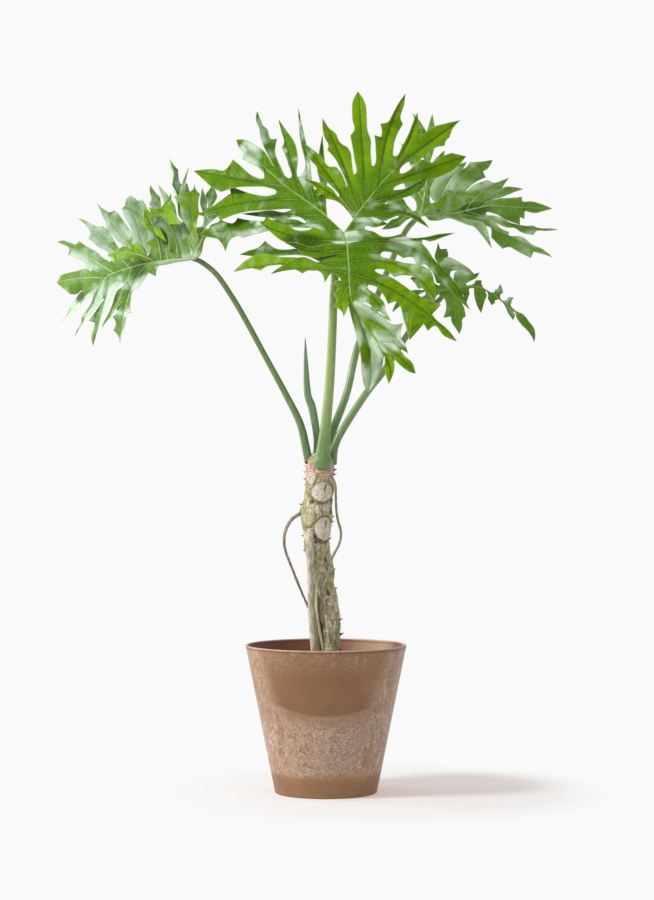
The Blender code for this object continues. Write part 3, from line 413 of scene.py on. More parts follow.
# height, degrees round from the front, width and height
KNOT_HOLES = ((348, 4, 5, 8), (436, -6, 5, 4), (505, -20, 5, 4), (405, 30, 4, 7))
BARK_MARKS = ("scar", "rim", "notch", "crown", "fold")
SWELL = 0.09
FISSURES = 0.95
RINGS = 0.6
KNOTS = 1.8
CROWN_START, CROWN_END = 536, 556
CROWN_STAND = 0.7
CROWN_FOLD = 5.5
FOLD_DEPTH = 1.2
SCAR_STAND = 1.0
SCAR_LIP = 0.5
SCAR_GUTTER = 2.0
NOTCH_DEPTH = 0.9
HOLE_DEPTH = 2.5
TRUNK_STEP = 1.1
TRUNK_TURNS = 160
THORN_LENGTH = 6
THORN_SUNK = 1.5
THORN_RISE = 0.35
THORN_SIZES = {"Foot radius": 1.7 * MM, "Length": THORN_LENGTH * MM, "Sides": 9}


def hermite(t, gap, start, end, leaving, arriving):
    """The point at t, from 0 to 1, of a smooth curve that has these slopes at its two ends."""
    return ((2 * t**3 - 3 * t**2 + 1) * start + (t**3 - 2 * t**2 + t) * gap * leaving
            + (3 * t**2 - 2 * t**3) * end + (t**3 - t**2) * gap * arriving)


def smooth_table(table, column):
    """A smooth curve through one column of a table against its first column."""
    heights = np.array([row[0] for row in table], float)
    values = np.array([row[column] for row in table], float)
    slopes = np.gradient(values, heights)

    def at(height):
        k = int(np.clip(np.searchsorted(heights, height) - 1, 0, len(heights) - 2))
        gap = heights[k + 1] - heights[k]
        t = min(max((height - heights[k]) / gap, 0.0), 1.0)
        return hermite(t, gap, values[k], values[k + 1], slopes[k], slopes[k + 1])

    return at


trunk_centre = smooth_table(TRUNK_RINGS, 1)
trunk_radius = smooth_table(TRUNK_RINGS, 2)


def ease(value, low, high):
    t = min(max((value - low) / (high - low), 0.0), 1.0)
    return t * t * (3 - 2 * t)


def turn_from(angle, degrees):
    """How far an angle is past this many degrees, from minus half a turn to half a turn."""
    return (angle - math.radians(degrees) + math.pi) % (2 * math.pi) - math.pi


def bark_at(height, angle):
    """Radius of the bark in mm, and how far it is scar, scar rim with painted shade in the groove below
    it, notch, crown and fold.
    """
    base = trunk_radius(height)
    around = Vector((math.sin(angle), -math.cos(angle), 0))

    def rough(tight, tall, kind=noise.noise, *rest):
        return kind(Vector((around.x * tight, around.y * tight, height / tall)), *rest)

    reach = base * (1 + SWELL * rough(1.6, 34))
    crown = ease(height, CROWN_START, CROWN_END)
    draped = height + 17 * math.cos(angle - 0.1) - 4 * math.cos(2 * angle)
    wave = math.sin(math.tau * draped / CROWN_FOLD + 3.2 * rough(2.2, 14))
    fold = crown * ease(wave, 0.45, 0.98)
    reach += (FISSURES * rough(7, 26, noise.fractal, 0.9, 2.1, 4) + RINGS * rough(1.3, 3.4)
              + crown * (CROWN_STAND - FOLD_DEPTH * fold))
    knots = noise.noise(Vector((around.x * 2.4, around.y * 2.4, height / 15)) + Vector((5, 5, 5)))
    reach += KNOTS * (1 - crown) * knots
    scar = rim = notch = 0.0
    for spot, turn, wide, tall, fresh in LEAF_SCARS:
        away = turn_from(angle, turn)
        if abs(away) > 1.3 or abs(height - spot) > tall:
            continue
        near = trunk_radius(spot)
        right, up = near * math.sin(away), height - spot
        wobble = 1 + 0.07 * noise.noise(Vector((away * 2.5, up / 9, spot)))
        q = math.hypot(right / (wide / 2), up / (tall / 2)) * wobble
        if q > 1.5:
            continue
        flat = near + SCAR_STAND - 0.5 * (1 - min(q, 1) ** 2)
        inside = (1 - ease(q, 0.96, 1.10)) * (0.4 + 0.6 * fresh)
        lip = math.exp(-((q - 1.05) / 0.075) ** 2) * fresh
        # the groove below the scar; its darkening through the rim mark is painted shade
        gutter = math.exp(-((q - 1.22) / 0.10) ** 2) * fresh * ease(-up, -0.3 * tall, 0.3 * tall)
        reach = reach * (1 - inside) + flat * inside + SCAR_LIP * lip - SCAR_GUTTER * gutter
        scar = max(scar * (1 - inside), inside * fresh)
        rim, fold = max(rim, lip, 0.8 * gutter), fold * (1 - inside)
        mark = math.hypot((right / wide - 0.05 - 0.24 * (up / tall)) / 0.05,
                          (up / tall - 0.22) / 0.26)
        notch = max(notch, (1 - ease(mark, 0.5, 1.1)) * inside * fresh)
        reach -= NOTCH_DEPTH * notch
    for spot, turn, wide, tall in KNOT_HOLES:
        away = turn_from(angle, turn)
        if abs(away) < 1 and abs(height - spot) < 2 * tall:
            hole = math.exp(-2 * math.hypot(base * away / wide, (height - spot) / tall) ** 3)
            reach, notch = reach - HOLE_DEPTH * hole, max(notch, hole)
    return reach, scar, rim, notch, crown, fold


def read_marks(where, names):
    """The numbers stored on the mesh under these names."""
    return [where.made("ShaderNodeAttribute", {}, "Fac", attribute_name=name) for name in names]


def bark():
    made, shader, where = new_finish("trunk_bark", 0.8, 0.3)
    scar, rim, notch, crown, fold = read_marks(where, BARK_MARKS)
    streak = where.drawn_out(0.3).grain(170.0, 6.0, 0.65, 0.6)
    colour = streak.step(0.3, 0.7).blend((0.26, 0.205, 0.105), (0.86, 0.78, 0.55))
    olive = where.grain(34.0, 5.0, 0.6, 0.8).step(0.44, 0.62)
    colour = colour.toward((0.33, 0.335, 0.10), olive * 0.7)
    pale = where.grain(60.0, 5.0, 0.7).step(0.54, 0.68) * where.axes()[2].step(0.40, 0.30)
    colour = colour.toward((0.66, 0.68, 0.60), pale * 0.75)
    # painted shade darkens the bark in its pits and along its cracks
    pit_shade = where.grain(95.0, 5.0, 0.7, 0.8).step(0.42, 0.33)
    colour = colour.toward((0.085, 0.055, 0.028), pit_shade * 0.5)
    cracks = where.grain(48.0, 4.0, 0.6, 1.2).lines(0.5, 0.022, 0.004)
    colour = colour.toward((0.10, 0.065, 0.032), cracks * 0.35)
    pink = where.grain(130.0, 4.0, 0.6).step(0.35, 0.65).blend((0.46, 0.27, 0.165), (0.76, 0.56, 0.42))
    colour = colour.toward(pink.toward((0.27, 0.105, 0.05), fold * 0.62), crown)
    cut = where.grain(150.0, 5.0, 0.7).step(0.35, 0.65).blend((0.56, 0.48, 0.37), (0.74, 0.67, 0.55))
    # the rim mark darkens the scar's brown rim and, as painted shade, the groove below it
    colour = colour.toward(cut, scar).toward((0.15, 0.065, 0.032), rim * 0.9)
    colour = colour.toward((0.115, 0.062, 0.034), notch * 0.9)
    height = streak + where.grain(320.0, 4.0, 0.7) * 0.5 - cracks * 0.4
    paint(shader, colour, height, 0.0022, 0.85)
    return made


def set_numbers(mesh, name, values):
    """Stores one number per vertex."""
    layer = mesh.attributes.new(name, "FLOAT", "POINT")
    layer.data.foreach_set("value", np.asarray(values, np.float32))


def closed_tube(places, marks, sides, ends):
    """Faces of a tube of rings of places. Each end is closed round a middle place, in mm, which
    takes the mark of its ring."""
    rows = len(places) // sides - 1
    rings = [[(row * sides + j, row * sides + (j + 1) % sides) for j in range(sides)]
             for row in range(rows + 1)]
    faces = [(a, b, b + sides, a + sides) for ring in rings[:-1] for a, b in ring]
    for row, end in zip((0, rows), ends):
        places.append(end * MM)
        marks.append(marks[row * sides])
        middle = len(places) - 1
        faces += [(a, b, middle) if row else (b, a, middle) for a, b in rings[row]]
    return faces


low, high = TRUNK_RINGS[0][0], TRUNK_RINGS[-1][0]
trunk_rows = int((high - low) / TRUNK_STEP)
trunk_places, bark_numbers = [], []
for row in range(trunk_rows + 1):
    height = low + (high - low) * row / trunk_rows
    for j in range(TRUNK_TURNS):
        angle = 2 * math.pi * j / TRUNK_TURNS
        reach, *numbers = bark_at(height, angle)
        trunk_places.append(Vector((trunk_centre(height) + reach * math.sin(angle),
                                    -reach * math.cos(angle), height)) * MM)
        bark_numbers.append(numbers)
trunk_faces = closed_tube(trunk_places, bark_numbers, TRUNK_TURNS,
                          [Vector((trunk_centre(height), 0, height)) for height in (low, high)])
trunk = mesh_piece("woody_trunk", trunk_places, trunk_faces, bark())
for name, values in zip(BARK_MARKS, zip(*bark_numbers)):
    set_numbers(trunk.data, name, values)
stand_for(trunk, "bark", "trunk")


def thorn_tree(finish):
    """Pointed cones set on points, along each point's way and by each point's size."""
    tree, given, output = field_tree("thorns_on_points", THORN_SIZES)
    dots = node(tree, "GeometryNodeMeshToPoints", {"Mesh": given["Mesh"]})
    cone = node(tree, "GeometryNodeMeshCone", {
        "Vertices": given["Sides"], "Radius Bottom": given["Foot radius"], "Radius Top": 0.0001,
        "Depth": given["Length"]})
    way = node(tree, "GeometryNodeInputNamedAttribute", {"Name": "way"}, data_type="FLOAT_VECTOR")
    size = node(tree, "GeometryNodeInputNamedAttribute", {"Name": "size"}, data_type="FLOAT")
    turn = node(tree, "FunctionNodeAlignRotationToVector", {"Vector": way.outputs[0]}, axis="Z")
    placed = node(tree, "GeometryNodeInstanceOnPoints",
                  {"Points": dots.outputs[0], "Instance": cone.outputs[0],
                   "Rotation": turn.outputs[0], "Scale": size.outputs[0]})
    return finish_tree(tree, placed, finish, output)


thorn_finish, shader, where = new_finish("thorn_horn", 0.5)
paint(shader, where.grain(300.0).step(0.35, 0.65).blend((0.10, 0.025, 0.018), (0.22, 0.07, 0.04)))
thorn_spots, thorn_ways = [], []
for height, degrees, length in THORNS:
    angle = math.radians(degrees)
    outward = Vector((math.sin(angle), -math.cos(angle), 0))
    reach = bark_at(height, angle)[0]
    thorn_spots.append((Vector((trunk_centre(height), 0, height)) + outward * (reach - 1)) * MM)
    thorn_ways.append((outward + Vector((0, 0, THORN_RISE))).normalized())
thorn_dots = mesh_piece("thorn_dots", thorn_spots, [], thorn_finish)
layer = thorn_dots.data.attributes.new("way", "FLOAT_VECTOR", "POINT")
layer.data.foreach_set("vector", np.array(thorn_ways, np.float32).ravel())
set_numbers(thorn_dots.data, "size", [(length + THORN_SUNK) / THORN_LENGTH for _, _, length in THORNS])
thorns = grown_piece("trunk_thorns", thorn_dots, thorn_tree(thorn_finish), THORN_SIZES, thorn_finish)
thorns.data.shade_smooth()
stand_for(thorns, "bark")
bpy.data.objects.remove(thorn_dots)


# Aerial roots. A thick grey one runs down the trunk's left front into the soil with a slim
# yellow-green one beside it, and two wiry ones loop out from the trunk and back to it.

EYE_DISTANCE = 4600
EYE_HEIGHT = 630
STEM_STEPS = 12
# Paths are right of the pot's middle, above the floor and back from it. Each skin has a name, its
# dark, pale and green, and how fine its grain is.
ROOTS = {
    "thick": dict(
        path=((-25, 458, -13), (-28, 447, -26), (-28, 425, -29), (-27, 394, -26), (-25, 321, -15),
              (-20, 249, -12), (-19, 205, -12), (-18, 186, -12)),
        radii=(5.5, 6.6, 6.6, 6.4, 6.5, 6.8, 6.4, 5.0), sides=40, wrinkle=0.35,
        skin=("thick_root_skin", (0.29, 0.24, 0.17), (0.68, 0.61, 0.49), (0.46, 0.42, 0.25), 240.0)),
    "slim": dict(
        path=((-6, 384, -13), (-15, 368, -22), (-17, 326, -25), (-12, 288, -24), (-5, 248, -26),
              (-3, 212, -27), (-2, 196, -27)),
        radii=(2.2, 2.2, 2.2, 2.2, 2.2, 2.2, 1.8), sides=20, wrinkle=0.12,
        skin=("slim_root_skin", (0.34, 0.31, 0.16), (0.62, 0.60, 0.38), (0.40, 0.44, 0.18), 300.0)),
    "left_loop": dict(
        path=((-36, 492, -4), (-45, 485, -7), (-60, 474, -11), (-70, 456, -15), (-73, 437, -16),
              (-70, 418, -15), (-61, 394, -11), (-51, 369, -5), (-42, 347, 0), (-34, 329, 4),
              (-22, 306, 6), (-4, 296, 5)),
        radii=(3.2, 3.1, 3.0, 2.8, 2.6, 2.4, 2.3, 2.2, 2.1, 2.0, 2.0, 1.9), sides=20, wrinkle=0.35,
        skin=("left_loop_skin", (0.13, 0.095, 0.065), (0.42, 0.34, 0.27), (0.22, 0.19, 0.10), 320.0)),
    "right_loop": dict(
        path=((2, 553, -14), (10, 548, -18), (16, 534, -18), (17, 515, -12), (18, 491, -8),
              (21, 472, -8), (26, 452, -10), (23, 432, -13), (12, 410, -18), (6, 388, -22),
              (1, 371, -21), (-7, 349, -19), (-8, 329, -15), (-8, 313, -14), (-7, 297, -10),
              (0, 286, -6)),
        radii=(2.4, 2.3, 2.2, 2.2, 2.2, 2.2, 2.2, 2.2, 2.2, 2.1, 2.1, 2.1, 2.0, 2.0, 1.9, 1.8),
        sides=20, wrinkle=0.28,
        skin=("right_loop_skin", (0.13, 0.13, 0.08), (0.42, 0.42, 0.29), (0.22, 0.27, 0.12), 320.0)),
    # The rear one is coloured dark as painted shade, filling the gap behind the thick root.
    "rear": dict(
        path=((-6, 396, 3), (-11, 370, 5), (-13, 350, 7), (-13, 320, 7), (-11, 285, 7), (-9, 250, 6),
              (-8, 214, 6)),
        radii=(3.0, 6.5, 8.0, 8.0, 8.0, 7.5, 7.0), sides=32, wrinkle=0.5,
        skin=("rear_root_painted_shade", (0.10, 0.08, 0.045), (0.28, 0.24, 0.15), (0.17, 0.18, 0.07), 260.0)),
}


def seen(right, up, depth):
    """The place, in mm, of a point seen this far right of the axis and above the floor."""
    spread = 1 + depth / EYE_DISTANCE
    return Vector((right * spread, depth, EYE_HEIGHT + (up - EYE_HEIGHT) * spread))


def curve_through(points, steps):
    """A smooth Catmull-Rom curve through points, with this many steps between neighbours."""
    rows = [np.array(point, float) for point in points]
    rows = [2 * rows[0] - rows[1], *rows, 2 * rows[-1] - rows[-2]]
    curve = []
    for before, start, end, after in zip(rows, rows[1:], rows[2:], rows[3:]):
        for step in range(steps):
            t = step / steps
            curve.append(0.5 * (2 * start + (end - before) * t
                                + (2 * before - 5 * start + 4 * end - after) * t**2
                                + (3 * start - 3 * end + after - before) * t**3))
    curve.append(rows[-2])
    return curve


def stem_mesh(name, path, radii, sides, finish, wrinkle=0.0, groove=0.0):
    """A closed tube along a seen path. wrinkle roughens it and groove channels its front, in mm.
    It carries its length from the foot in metres as the number "along"."""
    rows = curve_through([(*point, radius) for point, radius in zip(path, radii)], STEM_STEPS)
    spine = [seen(*row[:3]) for row in rows]
    side = Vector((0, 1, 0))
    places, along, length = [], [], 0.0
    for k, centre in enumerate(spine):
        ahead = (spine[min(k + 1, len(spine) - 1)] - spine[max(k - 1, 0)]).normalized()
        side = (side - ahead * side.dot(ahead)).normalized()
        across = ahead.cross(side)
        length += (centre - spine[max(k - 1, 0)]).length
        for j in range(sides):
            angle = 2 * math.pi * j / sides
            spoke = side * math.cos(angle) + across * math.sin(angle)
            reach = rows[k][3]
            if wrinkle:
                probe = centre + spoke * reach
                reach += wrinkle * noise.fractal(probe * 0.16, 0.9, 2.1, 3)
                reach += wrinkle * noise.noise(Vector((probe.x * 0.5, probe.y * 0.5, probe.z * 0.09)))
            if groove:
                reach -= groove * math.exp(-((angle - math.pi) / 0.5) ** 2)
            places.append((centre + spoke * reach) * MM)
            along.append(length * MM)
    faces = closed_tube(places, along, sides, (spine[0], spine[-1]))
    piece = mesh_piece(name, places, faces, finish, 60)
    set_numbers(piece.data, "along", along)
    return piece


def root_skin(name, dark, pale, green, scale):
    made, shader, where = new_finish(name, 0.72, 0.35)
    streak = where.drawn_out(0.22).grain(scale, 5.0, 0.6, 0.4)
    colour = streak.step(0.32, 0.68).blend(dark, pale)
    colour = colour.toward(green, where.grain(40.0, 4.0, 0.6).step(0.45, 0.62) * 0.5)
    colour = colour.toward(dark, where.grain(420.0, 2.0).step(0.68, 0.74) * 0.5)
    paint(shader, colour, streak, 0.0008, 0.5)
    return made


for name, root in ROOTS.items():
    piece = stem_mesh("air_root_" + name, root["path"], root["radii"], root["sides"],
                      root_skin(*root["skin"]), root["wrinkle"])
    solids = () if name == "rear" else ("aerial_root_" + name,)
    stand_for(piece, "young_root" if name == "slim" else "old_root", *solids)


# Leaf stalks. Smooth fleshy rods that clasp the crown with a widened bluish foot, thin towards
# the blade and have a shallow channel down the front. The dark furled leaf stands among them.

# colours: the foot, the rod and its pale streaks
STALKS = {
    "left": dict(
        path=((-29, 572, -2), (-33, 590, -2), (-45, 641, 0), (-71, 694, 8), (-105, 757, 17),
              (-143, 827, 26), (-167, 867, 28), (-191, 901, 30), (-215, 921, 31),
              (-232.4, 928.5, 21)),
        radii=(7.6, 7.2, 6.4, 5.6, 5.0, 4.9, 4.8, 4.7, 4.5, 4.0),
        colours=((0.095, 0.180, 0.055), (0.105, 0.175, 0.050), (0.22, 0.30, 0.10))),
    "front": dict(
        path=((-7, 559, -14), (-7, 561.5, -14.6), (-7, 566, -15), (-6.5, 576, -16), (-5, 592, -18),
              (0, 641, -26), (7, 721, -34), (11, 801, -38), (13, 854, -38), (16, 901, -36),
              (22, 941, -34), (30.5, 972.5, -47.5)),
        radii=(6.0, 11.5, 15.6, 16.6, 13.0, 9.3, 8.0, 7.4, 7.0, 6.6, 6.0, 5.0),
        colours=((0.125, 0.215, 0.070), (0.250, 0.345, 0.095), (0.34, 0.43, 0.16))),
    "right_back": dict(
        path=((-2, 570, 20), (9, 620, 29), (36, 694, 52), (55, 774, 78), (83, 838, 98),
              (90, 865, 106), (132, 964, 132), (152, 992, 137), (162.4, 1000, 124)),
        radii=(8.0, 7.2, 6.6, 6.2, 5.8, 5.6, 5.2, 4.8, 4.2),
        colours=((0.110, 0.205, 0.065), (0.200, 0.300, 0.120), (0.34, 0.44, 0.22))),
    "right_low": dict(
        path=((11, 570, 5), (20, 614, 6), (68, 691, 26), (101, 733, 44), (139, 792, 78),
              (158, 818, 96), (183, 842, 116), (198, 857, 124), (209.2, 873, 114)),
        radii=(7.4, 6.8, 6.4, 6.0, 5.6, 5.2, 4.9, 4.6, 4.0),
        colours=((0.110, 0.205, 0.065), (0.170, 0.270, 0.095), (0.31, 0.42, 0.19))),
}
FURLED_PATH = ((-19, 578, 12), (-16, 606, 14), (-17, 628, 13), (-24, 668, 12), (-32, 694, 12),
               (-35, 748, 13), (-36, 790, 14))
FURLED_RADII = (5.0, 5.8, 6.4, 6.9, 6.2, 3.8, 0.6)
STALK_SIDES = 40


def stalk_skin(name, foot, rod, pale):
    made, shader, where = new_finish(name, 0.36)
    along = read_marks(where, ["along"])[0]
    streak = where.drawn_out(0.06).grain(330.0, 3.0, 0.6)
    colour = along.step(0.02, 0.13).blend(foot, rod).toward(pale, streak.step(0.45, 0.7) * 0.45)
    colour = colour.toward(foot, where.grain(45.0, 3.0, 0.5).step(0.5, 0.7) * 0.3)
    paint(shader, colour, streak, 0.0004, 0.3)
    return made


for name, stalk in STALKS.items():
    label = "stalk_" + name
    piece = stem_mesh(label, stalk["path"], stalk["radii"], STALK_SIDES,
                      stalk_skin(label + "_skin", *stalk["colours"]), groove=0.5)
    stand_for(piece, "petiole", "petiole_" + name)
furled_skin = stalk_skin("furled_leaf_skin", (0.12, 0.22, 0.08), (0.125, 0.225, 0.095),
                         (0.28, 0.40, 0.20))
furled = stem_mesh("furled_leaf", FURLED_PATH, FURLED_RADII, STALK_SIDES, furled_skin, groove=1.2)
stand_for(furled, "new_leaf", "new_leaf_spike")


# Leaf blades. Each is one thin leathery blade cut almost to its veins into toothed, pointed lobes
# that run out from a midrib and two basal ribs. It is glossy and bright above and paler below.

BLADE_THICKNESS = 0.6
LATTICE_STEPS = 40
VEIN_STEPS = 4
EDGE_STEP = 3.0
SPINE_STEP = 3.0
LANES = (0.08, 0.2, 0.38, 0.58, 0.78, 0.93, 1.0)
TOOTH_WAVE = 2.5
LOBE_WAVE = 3.0
EDGE_WAVE = 1.3
EDGE_WAVE_LENGTH = 24
ROLL_SPREAD = 0.4
QUILT = 0.07
FOLD = 0.34
VEIN_SINK = 0.5
VEIN_WIDTH = 1.0
AXIS_SINK = 0.9
AXIS_WIDTH = 1.9
RIB_STAND = 3.0
SIDE_VEIN_GAP = 10
SIDE_VEIN_SLANT = 0.9
NECK = 3
TOOTH_FOOT = 7
NECK_LIMIT = 0.08
SHORTEST_TOOTH = 0.08
FLAT_BAND = 8
STRIP_PAINTED_LIGHT = 1.3
GLOW = 0.22
FAR = 99.0


def lobe(axis, root, tip, half=11, lift=0, via=None, before=(), after=(), sinus=None,
         rise=1.5, look=(0.4, 0.3), edges=((), ())):
    """One lobe of a blade. It leaves its axis at a fraction of the axis's length and runs past
    via to a tip, all in mm right of and above the leaf's joint. half is half its width, and lift
    is how far the tip comes towards the viewer, late if rise is large. before and after are the
    tips of its teeth on either side, and sinus is the bottom of the cut between it and the next
    lobe. look is how green it is, 0 for dark and 1 for yellow-green and low in places as painted
    shade, and how much painted sheen lies on it. edges are both edges in full, from the cut to
    the tip, a third number marking a sharp point."""
    return dict(axis=axis, root=root, tip=tip, half=half, lift=lift, via=via, before=before,
                after=after, sinus=sinus, rise=rise, tone_and_shade=look[0], sheen_share=look[1], edges=edges)
